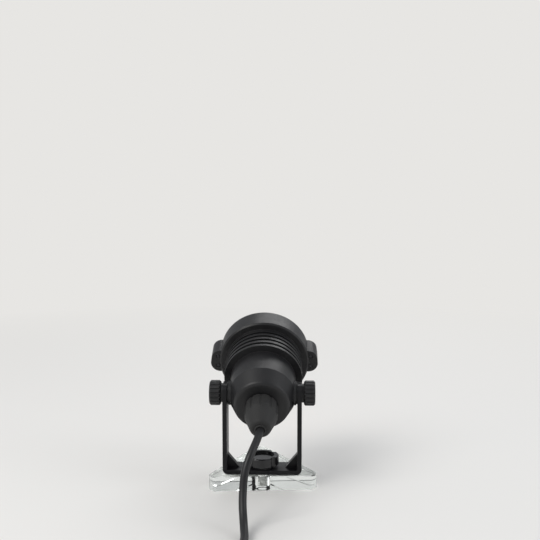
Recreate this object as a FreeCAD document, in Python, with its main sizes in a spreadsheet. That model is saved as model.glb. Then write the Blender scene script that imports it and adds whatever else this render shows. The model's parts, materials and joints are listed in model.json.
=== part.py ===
"""Sunset projection lamp: a small spot head that tilts in a U bracket on a clear three-cornered base.

Millimetres. The origin is on the swivel axis at the underside of the base, +Z is up and +Y is the way
the lamp shines. The head is drawn level, with its axis along +Y and its tilt axis at the origin, and is
then turned up by head_tilt and lifted to pivot_height. Stations along the head are measured from the
tilt axis, forward.
"""
import FreeCAD, Part
import Sketcher
import math
import os
import re

V = FreeCAD.Vector
TURN = 2 * math.pi

SIZES = [
    # clear base
    ("base_side", 83.0, "side of the triangle, before its corners are rounded"),
    ("base_corner", 6.0, "radius of the rounded corners"),
    ("base_thickness", 10.0, "thickness of the clear sheet"),
    ("base_back", 12.65, "from the swivel axis to the rear edge"),
    ("base_turn", 4.3, "how far the base is turned under the bracket, degrees"),
    ("base_bevel", 0.5, "polished bevel round both faces"),
    ("insert_radius", 5.2, "threaded insert, outside"),
    ("insert_depth", 8.5, "threaded insert, length"),
    ("insert_groove_width", 1.0, "the insert's two ring grooves"),
    ("insert_groove_depth", 0.5, "the insert's two ring grooves"),
    ("insert_groove_pitch", 2.4, "from groove to groove"),
    # U bracket
    ("strip_width", 18.0, "width of the bent strip"),
    ("strip_thickness", 3.0, "thickness of the bent strip"),
    ("bracket_inside", 48.2, "clear width between the arms"),
    ("bend_radius", 0.8, "inside radius of the two bends"),
    ("arm_above_pivot", 7.0, "from the tilt axis to the top of an arm"),
    ("arm_corner", 5.0, "rounded top corners of an arm"),
    ("gusset_along", 8.2, "pressed gusset, along the foot"),
    ("gusset_up", 9.8, "pressed gusset, up the arm"),
    ("gusset_width", 5.0, "pressed gusset, across"),
    ("pivot_height", 65.1, "tilt axis above the table"),
    # clamp knob on the swivel axis
    ("clamp_radius", 11.4, "clamp knob"),
    ("clamp_height", 6.6, "crown of the clamp knob"),
    ("clamp_hub_radius", 6.8, "hub under the crown"),
    ("clamp_hub_height", 0.8, "hub under the crown"),
    ("clamp_dish_radius", 8.2, "dished top"),
    ("clamp_dish_depth", 1.6, "dished top"),
    ("clamp_flute_radius", 2.3, "finger flutes"),
    ("clamp_flutes", 4, "number of finger flutes"),
    ("clamp_stud_radius", 3.0, "clamp stud"),
    ("clamp_stud_engaged", 7.0, "length of the stud in the insert"),
    ("clamp_stud_point", 0.6, "bevelled end of the stud"),
    ("clamp_rim_bevel", 0.6, "bevelled rims of the crown"),
    ("clamp_washer_radius", 8.0, "washer under the knob"),
    ("clamp_washer_thickness", 1.0, "washer under the knob"),
    # tilt knobs
    ("tilt_knob_radius", 8.6, "tilt knob"),
    ("tilt_knob_width", 7.7, "tilt knob, along its axis"),
    ("tilt_knob_edge", 1.0, "bevelled rims of the tilt knob"),
    ("tilt_knob_dish", 5.4, "radius of the dished outer face"),
    ("tilt_knob_dish_depth", 0.8, "depth of the dished outer face"),
    ("grip_flutes", 18, "grooves round a tilt knob"),
    ("grip_flute_radius", 0.7, "grooves round a tilt knob"),
    ("tilt_screw_radius", 2.5, "tilt screw"),
    ("tilt_screw_engaged", 6.0, "length of the tilt screw in the head"),
    ("tilt_screw_point", 0.5, "bevelled end of the tilt screw"),
    ("knob_cap", 2.0, "plastic over the end of a stud or screw that is moulded into a knob"),
    ("outer_washer_radius", 6.5, "washer between arm and knob"),
    ("outer_washer_thickness", 1.5, "washer between arm and knob"),
    ("friction_washer_radius", 7.6, "washer between head and arm"),
    ("friction_washer_thickness", 0.8, "washer between head and arm"),
    # head casting
    ("head_tilt", 20.0, "how far the head looks up, degrees"),
    ("tail_station", -16.5, "rear face of the casting"),
    ("tail_radius", 18.5, "rear face of the casting"),
    ("tail_round", 3.0, "rounded edge of the rear face"),
    ("waist_station", -4.0, "end of the rear taper"),
    ("waist_radius", 23.0, "waist between the arms"),
    ("boss_radius", 8.4, "pivot bosses on the waist"),
    ("fin_station", 17.0, "start of the finned part"),
    ("fin_radius", 27.7, "finned part"),
    ("fin_gap", 2.4, "width of a groove between fins"),
    ("fin_depth", 2.4, "depth of a groove between fins"),
    ("fin_pitch", 4.8, "from fin to fin"),
    ("fin_grooves", 4, "number of grooves"),
    ("flange_station", 39.5, "rear of the front flange"),
    ("flange_radius", 32.6, "front flange and bezel"),
    ("flange_bevel", 1.0, "bevelled rear edge of the flange"),
    ("split_station", 47.0, "joint between casting and bezel"),
    ("bezel_station", 58.5, "front of the bezel"),
    ("bezel_round", 3.5, "rounded front edge of the bezel"),
    ("rear_wall", 4.0, "rear wall of the casting"),
    ("rear_bore", 13.5, "rear chamber"),
    ("driver_bore", 16.0, "chamber in front of the driver board"),
    ("driver_seat", 4.0, "station of the ledge for the driver board"),
    ("front_bore", 23.5, "front chamber"),
    ("plate_seat", 20.0, "station of the ledge for the heat plate"),
    ("filter_seat", 45.5, "station of the ledge for the colour filter"),
    # side lugs
    ("lug_reach", 5.4, "how far the lugs stand out of the flange, at their top"),
    ("lug_flare", 2.4, "how much further the lugs reach at their foot"),
    ("lug_root", 6.0, "how far the lugs run into the flange"),
    ("lug_height", 17.7, "height of a lug"),
    ("lug_round", 7.0, "rounded corners of a lug"),
    ("lug_rear", 41.0, "rear face of the lugs"),
    ("lug_front", 56.5, "front face of the lugs"),
    ("lug_screw_reach", 1.4, "from the flange's rim to the lug screws, sideways"),
    ("lug_screw_rise", 3.9, "from the middle of a lug to its screws"),
    ("lug_screw_radius", 1.5, "lug screws"),
    ("lug_screw_head", 2.7, "heads of the lug screws"),
    ("lug_screw_head_height", 2.4, "heads of the lug screws"),
    ("lug_screw_sunk", 3.0, "how deep the heads are sunk"),
    # optics
    ("lens_radius", 25.0, "rim of the lens"),
    ("lens_rim", 3.4, "thickness of the rim"),
    ("lens_dome_radius", 22.6, "foot of the dome"),
    ("lens_dome_height", 7.0, "height of the dome over the rim"),
    ("gasket_inner", 23.4, "lens gasket, inside"),
    ("gasket_thickness", 1.0, "lens gasket"),
    ("filter_thickness", 1.1, "colour filter"),
    ("bezel_opening", 23.8, "opening of the bezel at its lip"),
    ("bezel_flare", 28.0, "opening of the bezel at its front"),
    ("bezel_lip", 1.5, "straight part of the bezel's opening"),
    ("tunnel_wall", 1.4, "light tunnel"),
    ("baffle_station", 31.0, "first baffle in the light tunnel"),
    ("baffle_thickness", 1.4, "baffles"),
    ("second_baffle", 38.5, "second baffle in the light tunnel"),
    ("second_baffle_bore", 19.0, "second baffle, inside"),
    ("holder_radius", 15.4, "condenser holder"),
    ("holder_length", 9.6, "condenser holder"),
    ("holder_rear_bore", 6.6, "reflector cone at the light source"),
    ("condenser_radius", 11.0, "condenser lens"),
    ("condenser_rim", 2.0, "condenser lens, rim"),
    ("condenser_dome_radius", 10.4, "condenser lens, foot of the dome"),
    ("condenser_height", 4.6, "condenser lens, dome"),
    ("condenser_ledge", 1.0, "ledge that the condenser lens sits on"),
    # light source
    ("plate_thickness", 4.0, "heat plate"),
    ("board_thickness", 1.6, "light source board"),
    ("emitter_radius", 5.6, "light source"),
    ("emitter_thickness", 0.9, "light source"),
    ("board_screw_circle", 19.4, "board screws, from the axis"),
    ("board_screw_radius", 1.25, "board screws"),
    ("board_screw_head", 2.3, "heads of the board screws"),
    ("board_screw_head_height", 1.5, "heads of the board screws"),
    ("board_screw_length", 9.0, "board screws, under the head"),
    ("wire_hole_radius", 2.2, "hole for the wires"),
    ("wire_hole_drop", 11.0, "wire hole, below the axis"),
    ("wire_radius", 0.7, "one insulated wire"),
    ("wire_spacing", 1.9, "from wire to wire"),
    ("driver_thickness", 1.4, "driver board"),
    ("choke_radius", 4.0, "choke on the driver board"),
    ("choke_height", 4.2, "choke"),
    ("choke_across", 4.5, "choke, to the left of the axis"),
    ("choke_up", 3.5, "choke, above the axis"),
    ("capacitor_radius", 2.6, "capacitor on the driver board"),
    ("capacitor_height", 5.4, "capacitor"),
    ("capacitor_across", 5.5, "capacitor, to the right of the axis"),
    ("capacitor_up", 5.0, "capacitor, above the axis"),
    ("chip_width", 6.0, "chip on the driver board"),
    ("chip_length", 4.5, "chip"),
    ("chip_height", 1.6, "chip"),
    ("chip_across", 1.0, "chip, to the right of the axis"),
    ("chip_drop", 6.0, "chip's lower edge, below the axis"),
    # cable gland and cable
    ("gland_end", 42.0, "rear end of the gland, behind the tilt axis"),
    ("gland_end_radius", 6.5, "gland, rear end"),
    ("gland_round", 3.0, "rounded rear end"),
    ("gland_radius", 11.0, "barrel of the gland"),
    ("gland_barrel", 10.7, "length of the barrel"),
    ("gland_grips", 10, "finger grooves round the barrel"),
    ("gland_grip_radius", 1.6, "finger grooves round the barrel"),
    ("gland_grip_depth", 0.6, "finger grooves round the barrel"),
    ("gland_thread_radius", 6.0, "spigot through the rear wall"),
    ("gland_thread_spare", 0.8, "spigot that stands out of the nut"),
    ("gland_seal_thickness", 0.8, "seal under the gland"),
    ("gland_seal_inset", 0.4, "from the barrel's rim to the seal's"),
    ("gland_nut_width", 8.2, "nut, from its middle to a corner"),
    ("gland_nut_thickness", 3.0, "nut"),
    ("cable_radius", 2.5, "cable"),
    ("cable_sides", 8, "flat sides of the free cable's tube"),
    ("cable_inside", 3.0, "cable that stands out of the gland inside the head"),
    ("coil_radius", 39.3, "middle of the coil's outermost turn"),
    ("coil_pitch", 5.5, "from turn to turn"),
    ("coil_layer", 5.45, "from layer to layer"),
    # plug on the cable
    ("plug_length", 22.0, "moulded grip of the plug"),
    ("plug_width", 15.6, "moulded grip of the plug"),
    ("plug_height", 8.0, "moulded grip of the plug"),
    ("plug_corner", 2.4, "rounded edges of the grip"),
    ("plug_neck", 9.0, "tapered neck behind the grip"),
    ("plug_neck_wall", 0.7, "neck's wall round the cable, at its thin end"),
    ("plug_neck_step", 0.4, "from the grip's top to the neck's"),
    ("plug_ribs", 4, "grip ribs on each side"),
    ("plug_rib_pitch", 3.0, "from rib to rib"),
    ("plug_rib_gap", 1.4, "width of the grooves between ribs"),
    ("plug_rib_depth", 0.6, "depth of the grooves between ribs"),
    ("shell_length", 12.0, "metal shell in front of the grip"),
    ("shell_width", 12.0, "metal shell"),
    ("shell_height", 4.5, "metal shell"),
    ("shell_wall", 0.35, "metal shell"),
    ("window_side", 2.3, "side of the shell's square windows"),
    ("window_spread", 5.0, "from window to window"),
    ("window_back", 5.4, "from the shell's mouth to the middle of its windows"),
    ("tongue_height", 1.9, "plastic tongue in the shell"),
    ("tongue_short", 0.5, "how far the tongue ends behind the shell's mouth"),
    # clearances
    ("running", 0.06, "radial clearance of what turns"),
    ("fitted", 0.1, "radial clearance of what is assembled"),
    ("gripped", 0.03, "radial clearance of what is moulded in or gripped"),
    ("overcut", 1.0, "how far a cut runs past a face"),
]
WORDS = {name for name, _, _ in SIZES}

doc = FreeCAD.newDocument("sunset_lamp")
sheet = doc.addObject("Spreadsheet::Sheet", "sizes")
for row, (name, value, note) in enumerate(SIZES, start=1):
    sheet.set(f"A{row}", name)
    sheet.set(f"B{row}", str(value))
    sheet.set(f"C{row}", note)
    sheet.setAlias(f"B{row}", name)
doc.recompute()

# Places that several pieces share, written with the sheet's names.
STRIP_TOP = "(base_thickness + strip_thickness)"
CLAMP_HUB_FOOT = f"({STRIP_TOP} + clamp_washer_thickness)"
CLAMP_CROWN_FOOT = f"({CLAMP_HUB_FOOT} + clamp_hub_height)"
CLAMP_CROWN_TOP = f"({CLAMP_CROWN_FOOT} + clamp_height)"
ARM_INSIDE = "(bracket_inside / 2)"
ARM_OUTSIDE = f"({ARM_INSIDE} + strip_thickness)"
BOSS_FACE = f"({ARM_INSIDE} - friction_washer_thickness)"
KNOB_FACE = f"({ARM_OUTSIDE} + outer_washer_thickness)"
ARM_TOP = "(pivot_height + arm_above_pivot)"
LENS_BACK = "(filter_seat + filter_thickness)"
LENS_RIM_FRONT = f"({LENS_BACK} + lens_rim)"
BEZEL_LIP = f"({LENS_RIM_FRONT} + gasket_thickness)"
BOARD_BACK = "(plate_seat + plate_thickness)"
BOARD_FRONT = f"({BOARD_BACK} + board_thickness)"
HOLDER_FRONT = f"({BOARD_FRONT} + holder_length)"
CONDENSER_BACK = f"({HOLDER_FRONT} - condenser_rim)"
REAR_WALL_FRONT = "(tail_station + rear_wall)"
GLAND_SHOULDER = "(tail_station - gland_seal_thickness)"
LUG_SPAN = "(flange_radius + lug_reach)"
LUG_SCREW_SPAN = "(flange_radius + lug_screw_reach)"


def size(name):
    """A driving dimension as a number."""
    return float(sheet.get(name))


def formula(text):
    """The text with each of the sheet's names written as the sheet's own cell."""
    return re.sub(r"[a-z_]+", lambda word: "sizes." + word[0] if word[0] in WORDS else word[0], text)


def bind(thing, path, text):
    thing.setExpression(path, formula(text))


# ---------------------------------------------------------------- sketches and features
def new_body(name):
    return doc.addObject("PartDesign::Body", name)


def sketch_on(body, role, name, offset="0"):
    """A sketch on one of the body's own planes, moved along that plane's normal by offset."""
    sketch = body.newObject("Sketcher::SketchObject", name)
    plane = next(f for f in body.Origin.OriginFeatures if f.Role == role)
    sketch.AttachmentSupport = [(plane, "")]
    sketch.MapMode = "FlatFace"
    if offset != "0":
        bind(sketch, "AttachmentOffset.Base.z", offset)
    return sketch


def hold(sketch, kind, *where, text):
    """A constraint whose value is a formula of the sheet's names."""
    index = sketch.addConstraint(Sketcher.Constraint(kind, *where, 1.0))
    bind(sketch, f"Constraints[{index}]", text)


def hold_point(sketch, geometry, end, across, up):
    hold(sketch, "DistanceX", -1, 1, geometry, end, text=across)
    hold(sketch, "DistanceY", -1, 1, geometry, end, text=up)


def polygon(sketch, corners):
    """A closed outline whose corners are pairs of formulas."""
    first = sketch.GeometryCount
    count = len(corners)
    ring = [V(math.cos(TURN * i / count), math.sin(TURN * i / count), 0) for i in range(count)]
    for i in range(count):
        sketch.addGeometry(Part.LineSegment(ring[i], ring[(i + 1) % count]), False)
    for i, (across, up) in enumerate(corners):
        sketch.addConstraint(Sketcher.Constraint("Coincident", first + i, 2, first + (i + 1) % count, 1))
        hold_point(sketch, first + i, 1, across, up)


def circles(sketch, places, radius):
    for across, up in places:
        index = sketch.addGeometry(Part.Circle(V(0, 0, 0), V(0, 0, 1), 1.0), False)
        hold_point(sketch, index, 3, across, up)
        hold(sketch, "Radius", index, text=radius)


def check_volume(feature, kind):
    """A pad or revolution has to add to what its body had, and a pocket or groove to cut from it."""
    before = feature.BaseFeature.Shape.Volume if feature.BaseFeature else 0.0
    added = feature.Shape.Volume - before
    cuts = kind in ("Pocket", "Groove")
    assert added < -1e-3 if cuts else added > 1e-3, f"{feature.Name} changes the volume by {added:.4f}"


def extrude(body, kind, name, sketch, length, reverse=False, both_ways=False):
    feature = body.newObject("PartDesign::" + kind, name)
    feature.Profile = sketch
    if both_ways:
        feature.SideType = "Symmetric"
    feature.Reversed = reverse
    bind(feature, "Length", length)
    doc.recompute()
    check_volume(feature, kind)
    return feature


def revolve(body, kind, name, sketch, axis="H_Axis"):
    feature = body.newObject("PartDesign::" + kind, name)
    feature.Profile = sketch
    feature.ReferenceAxis = (sketch, [axis])
    feature.Angle = 360
    feature.Reversed = False
    doc.recompute()
    check_volume(feature, kind)
    return feature


def dress(body, kind, name, feature, test, amount):
    """A fillet or chamfer on those edges of the feature that pass the test."""
    doc.recompute()
    edges = [f"Edge{i}" for i, edge in enumerate(feature.Shape.Edges, start=1) if test(edge)]
    assert edges, f"{body.Name}: no edge for {name}"
    dressed = body.newObject("PartDesign::" + kind, name)
    dressed.Base = (feature, edges)
    bind(dressed, "Radius" if kind == "Fillet" else "Size", amount)
    doc.recompute()
    return dressed


def around(body, feature, sketch, count, name="pattern", axis="N_Axis"):
    """The cut repeated evenly round an axis of its sketch."""
    pattern = body.newObject("PartDesign::PolarPattern", name)
    pattern.Originals = [feature]
    pattern.Axis = (sketch, [axis])
    pattern.Angle = 360
    bind(pattern, "Occurrences", count)
    body.Tip = pattern
    doc.recompute()
    check_volume(pattern, "Pocket")
    return pattern


def in_rows(body, cut, sketch, name, pitch, count):
    """The cut repeated in a row along its sketch's horizontal axis."""
    row = body.newObject("PartDesign::LinearPattern", name)
    row.Originals = [cut]
    row.Direction = (sketch, ["H_Axis"])
    bind(row, "Length", f"{pitch} * ({count} - 1)")
    bind(row, "Occurrences", count)
    body.Tip = row
    doc.recompute()
    check_volume(row, "Pocket")
    return row


def turned(name, outline, plane="YZ_Plane", axis="H_Axis"):
    """A body of revolution: the outline's corners are (station, radius)."""
    body = new_body(name)
    sketch = sketch_on(body, plane, name + "_outline")
    polygon(sketch, outline)
    revolve(body, "Revolution", name + "_turned", sketch, axis)
    return body


def upright(name, outline):
    """A body of revolution about Z: the outline's corners are (radius, height)."""
    return turned(name, outline, plane="XZ_Plane", axis="V_Axis")


def ring_edge(place, radius, axis):
    """A test for the circular edge of that radius whose middle is at that place on the axis."""
    def test(edge):
        curve = edge.Curve
        if not isinstance(curve, Part.Circle):
            return False
        middle = (curve.Center.x, curve.Center.y, curve.Center.z)[axis]
        return abs(curve.Radius - radius) < 1e-4 and abs(middle - place) < 1e-4
    return test


def line_edge(direction, where):
    """A test for straight edges along a direction at which where(middle) holds."""
    def test(edge):
        if not isinstance(edge.Curve, Part.Line):
            return False
        return abs(abs(edge.Curve.Direction.dot(direction)) - 1) < 1e-6 and where(edge.CenterOfMass)
    return test


# ---------------------------------------------------------------- where pieces go
def on_head(thing):
    """Turns a piece drawn level up to the head's angle and lifts it to the tilt axis."""
    thing.Placement = FreeCAD.Placement(V(0, 0, 1), FreeCAD.Rotation(V(1, 0, 0), 1))
    bind(thing, "Placement.Rotation.Angle", "head_tilt")
    bind(thing, "Placement.Base.z", "pivot_height")
    return thing


def on_side(thing, side, distance):
    """Puts a piece drawn about Z on the tilt axis, facing out, at that distance from the middle."""
    thing.Placement = FreeCAD.Placement(V(side, 0, 1), FreeCAD.Rotation(V(0, 0, 1), V(side, 0, 0)))
    bind(thing, "Placement.Base.x", f"{side} * ({distance})")
    bind(thing, "Placement.Base.z", "pivot_height")
    return thing


def head_place():
    return FreeCAD.Placement(V(0, 0, size("pivot_height")), FreeCAD.Rotation(V(1, 0, 0), size("head_tilt")))


# ---------------------------------------------------------------- base
def make_base_plate():
    body = new_body("base_plate")
    outline = sketch_on(body, "XY_Plane", "base_outline")
    polygon(outline, [("-base_side / 2", "-base_back"), ("base_side / 2", "-base_back"),
                      ("0", "base_side * sqrt(3) / 2 - base_back")])
    slab = extrude(body, "Pad", "base_slab", outline, "base_thickness")
    corners = dress(body, "Fillet", "base_corners", slab,
                    line_edge(V(0, 0, 1), lambda middle: True), "base_corner")
    bore = sketch_on(body, "XY_Plane", "insert_bore", "base_thickness")
    circles(bore, [("0", "0")], "insert_radius")
    well = extrude(body, "Pocket", "insert_well", bore, "insert_depth")
    outside = size("insert_radius") + 1
    faces = {0.0, size("base_thickness")}

    def rim(edge):
        levels = {round(v.Point.z, 5) for v in edge.Vertexes}
        away = max(math.hypot(v.Point.x, v.Point.y) for v in edge.Vertexes)
        return len(levels) == 1 and levels <= faces and away > outside
    dress(body, "Chamfer", "base_polish", well, rim, "base_bevel")
    body.Placement = FreeCAD.Placement(V(0, 0, 0), FreeCAD.Rotation(V(0, 0, 1), 1))
    bind(body, "Placement.Rotation.Angle", "base_turn")
    return body


def make_threaded_insert():
    foot = "(base_thickness - insert_depth)"
    outside = "(insert_radius - fitted / 2)"
    groove = f"({outside} - insert_groove_depth)"
    bore = "(clamp_stud_radius + running)"
    levels = [f"({foot} + (insert_depth {side} insert_groove_pitch {edge} insert_groove_width) / 2)"
              for side in "-+" for edge in "-+"]
    return upright("threaded_insert", [
        (bore, foot), (outside, foot), (outside, levels[0]), (groove, levels[0]), (groove, levels[1]),
        (outside, levels[1]), (outside, levels[2]), (groove, levels[2]), (groove, levels[3]),
        (outside, levels[3]), (outside, "base_thickness"), (bore, "base_thickness")])


# ---------------------------------------------------------------- bracket
def make_bracket():
    body = new_body("bracket")
    section = sketch_on(body, "XZ_Plane", "bracket_section")
    polygon(section, [
        ("-" + ARM_OUTSIDE, "base_thickness"), (ARM_OUTSIDE, "base_thickness"), (ARM_OUTSIDE, ARM_TOP),
        (ARM_INSIDE, ARM_TOP), (ARM_INSIDE, STRIP_TOP), ("-" + ARM_INSIDE, STRIP_TOP),
        ("-" + ARM_INSIDE, ARM_TOP), ("-" + ARM_OUTSIDE, ARM_TOP)])
    strip = extrude(body, "Pad", "bent_strip", section, "strip_width", both_ways=True)
    inner_level = size("base_thickness") + size("strip_thickness")
    outer = dress(body, "Fillet", "outer_bends", strip, line_edge(
        V(0, 1, 0), lambda m: abs(m.z - size("base_thickness")) < 1e-4), "bend_radius + strip_thickness")
    inner = dress(body, "Fillet", "inner_bends", outer, line_edge(
        V(0, 1, 0), lambda m: abs(m.z - inner_level) < 1e-4), "bend_radius")
    top = size("pivot_height") + size("arm_above_pivot")
    rounded = dress(body, "Fillet", "arm_corners", inner, line_edge(
        V(1, 0, 0), lambda m: abs(m.z - top) < 1e-4), "arm_corner")
    gussets = sketch_on(body, "XZ_Plane", "gusset_section")
    root = "strip_thickness / 2"
    for side in ("", "-"):
        polygon(gussets, [
            (f"{side}({ARM_INSIDE} + {root})", f"{STRIP_TOP} + gusset_up"),
            (f"{side}{ARM_INSIDE}", f"{STRIP_TOP} + gusset_up"),
            (f"{side}({ARM_INSIDE} - gusset_along)", STRIP_TOP),
            (f"{side}({ARM_INSIDE} - gusset_along)", f"{STRIP_TOP} - {root}"),
            (f"{side}({ARM_INSIDE} + {root})", f"{STRIP_TOP} - {root}")])
    extrude(body, "Pad", "gussets", gussets, "gusset_width", both_ways=True)
    pivots = sketch_on(body, "YZ_Plane", "pivot_holes")
    circles(pivots, [("0", "pivot_height")], "tilt_screw_radius + running")
    extrude(body, "Pocket", "pivot_bores", pivots, f"2 * ({ARM_OUTSIDE} + overcut)", both_ways=True)
    stud = sketch_on(body, "XY_Plane", "stud_hole", f"{STRIP_TOP}")
    circles(stud, [("0", "0")], "clamp_stud_radius + running")
    extrude(body, "Pocket", "stud_bore", stud, "strip_thickness")
    return body


# ---------------------------------------------------------------- clamp
def make_clamp():
    bore = "(clamp_stud_radius - running)"
    floor = f"({CLAMP_CROWN_TOP} - clamp_dish_depth)"
    body = upright("clamp_knob", [
        (bore, CLAMP_HUB_FOOT), ("clamp_hub_radius", CLAMP_HUB_FOOT), ("clamp_hub_radius", CLAMP_CROWN_FOOT),
        ("clamp_radius", CLAMP_CROWN_FOOT), ("clamp_radius", CLAMP_CROWN_TOP),
        ("clamp_dish_radius", CLAMP_CROWN_TOP), ("clamp_dish_radius", floor), ("0", floor),
        ("0", f"{floor} - knob_cap"), (bore, f"{floor} - knob_cap")])
    foot = sum(size(n) for n in ("base_thickness", "strip_thickness", "clamp_washer_thickness",
                                 "clamp_hub_height"))
    dress(body, "Chamfer", "crown_rims", body.Tip, lambda e: any(
        ring_edge(level, size("clamp_radius"), 2)(e) for level in (foot, foot + size("clamp_height"))),
        "clamp_rim_bevel")
    flute = sketch_on(body, "XY_Plane", "flute", f"{CLAMP_CROWN_TOP}")
    circles(flute, [("clamp_radius / sqrt(2)", "clamp_radius / sqrt(2)")], "clamp_flute_radius")
    cut = extrude(body, "Pocket", "flute_cut", flute, "clamp_height")
    around(body, cut, flute, "clamp_flutes", "flutes")

    stud_foot = "(base_thickness - clamp_stud_engaged)"
    stud_head = f"({floor} - knob_cap)"
    radius = "(clamp_stud_radius - running)"
    upright("clamp_stud", [
        ("0", stud_foot), (f"{radius} - clamp_stud_point", stud_foot),
        (radius, f"{stud_foot} + clamp_stud_point"), (radius, stud_head), ("0", stud_head)])
    upright("clamp_washer", [
        ("clamp_stud_radius + fitted", STRIP_TOP), ("clamp_washer_radius", STRIP_TOP),
        ("clamp_washer_radius", CLAMP_HUB_FOOT), ("clamp_stud_radius + fitted", CLAMP_HUB_FOOT)])


# ---------------------------------------------------------------- tilt knobs
def make_tilt_knob(side, name):
    """One knob and its screw, drawn about Z with the arm at z = 0 and the hand at +Z."""
    socket = "(tilt_screw_radius + gripped)"
    ceiling = "(tilt_knob_width - knob_cap)"
    knob = upright("tilt_knob_" + name, [
        (socket, "0"), ("tilt_knob_radius - tilt_knob_edge", "0"), ("tilt_knob_radius", "tilt_knob_edge"),
        ("tilt_knob_radius", "tilt_knob_width - tilt_knob_edge"),
        ("tilt_knob_radius - tilt_knob_edge", "tilt_knob_width"), ("tilt_knob_dish", "tilt_knob_width"),
        ("tilt_knob_dish - tilt_knob_dish_depth", "tilt_knob_width - tilt_knob_dish_depth"),
        ("0", "tilt_knob_width - tilt_knob_dish_depth"), ("0", ceiling), (socket, ceiling)])
    groove = sketch_on(knob, "XY_Plane", f"grip_{name}", "tilt_knob_width")
    circles(groove, [("tilt_knob_radius", "0")], "grip_flute_radius")
    cut = extrude(knob, "Pocket", f"grip_cut_{name}", groove, "tilt_knob_width")
    around(knob, cut, groove, "grip_flutes", f"grip_{name}_ring")
    on_side(knob, side, KNOB_FACE)

    tip = f"({BOSS_FACE} - tilt_screw_engaged - {KNOB_FACE})"
    screw = upright("tilt_screw_" + name, [
        ("0", tip), ("tilt_screw_radius - tilt_screw_point", tip),
        ("tilt_screw_radius", f"{tip} + tilt_screw_point"), ("tilt_screw_radius", ceiling), ("0", ceiling)])
    on_side(screw, side, KNOB_FACE)


def make_side_washers(name, start, thickness, radius):
    """The two like washers on the tilt axis, one at each side."""
    body = new_body(name)
    for side, label, role in ((1, "right", False), (-1, "left", True)):
        disc = sketch_on(body, "YZ_Plane", f"{name}_{label}", f"{side} * {start}")
        circles(disc, [("0", "0")], radius)
        circles(disc, [("0", "0")], "tilt_screw_radius + running")
        extrude(body, "Pad", f"{name}_{label}_disc", disc, thickness, reverse=role)
    body.Placement = FreeCAD.Placement(V(0, 0, 1), FreeCAD.Rotation())
    bind(body, "Placement.Base.z", "pivot_height")
    return body


# ---------------------------------------------------------------- head casting and bezel
def add_lugs(body, name, start, length):
    """Both side lugs between two stations, grown into the round flange, with their corners rounded."""
    lugs = sketch_on(body, "XZ_Plane", name, f"-{start}")
    inside = "(flange_radius - lug_root)"
    for side in ("", "-"):
        polygon(lugs, [
            (f"{side}{inside}", "lug_height / 2"), (f"{side}{LUG_SPAN}", "lug_height / 2"),
            (f"{side}({LUG_SPAN} + lug_flare)", "-lug_height / 2"), (f"{side}{inside}", "-lug_height / 2")])
    pad = extrude(body, "Pad", name + "_pad", lugs, length, reverse=True)
    return dress(body, "Fillet", name + "_corners", pad, line_edge(
        V(0, 1, 0), lambda m: abs(m.x) > size("flange_radius") + size("lug_reach") / 2), "lug_round")


def lug_screw_places():
    return [(f"{side}{LUG_SCREW_SPAN}", f"{rise}lug_screw_rise") for side in ("", "-") for rise in ("", "-")]


def board_screw_places():
    return [(f"board_screw_circle * cos({angle})", f"board_screw_circle * sin({angle})")
            for angle in (30, 150, 270)]


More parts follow.
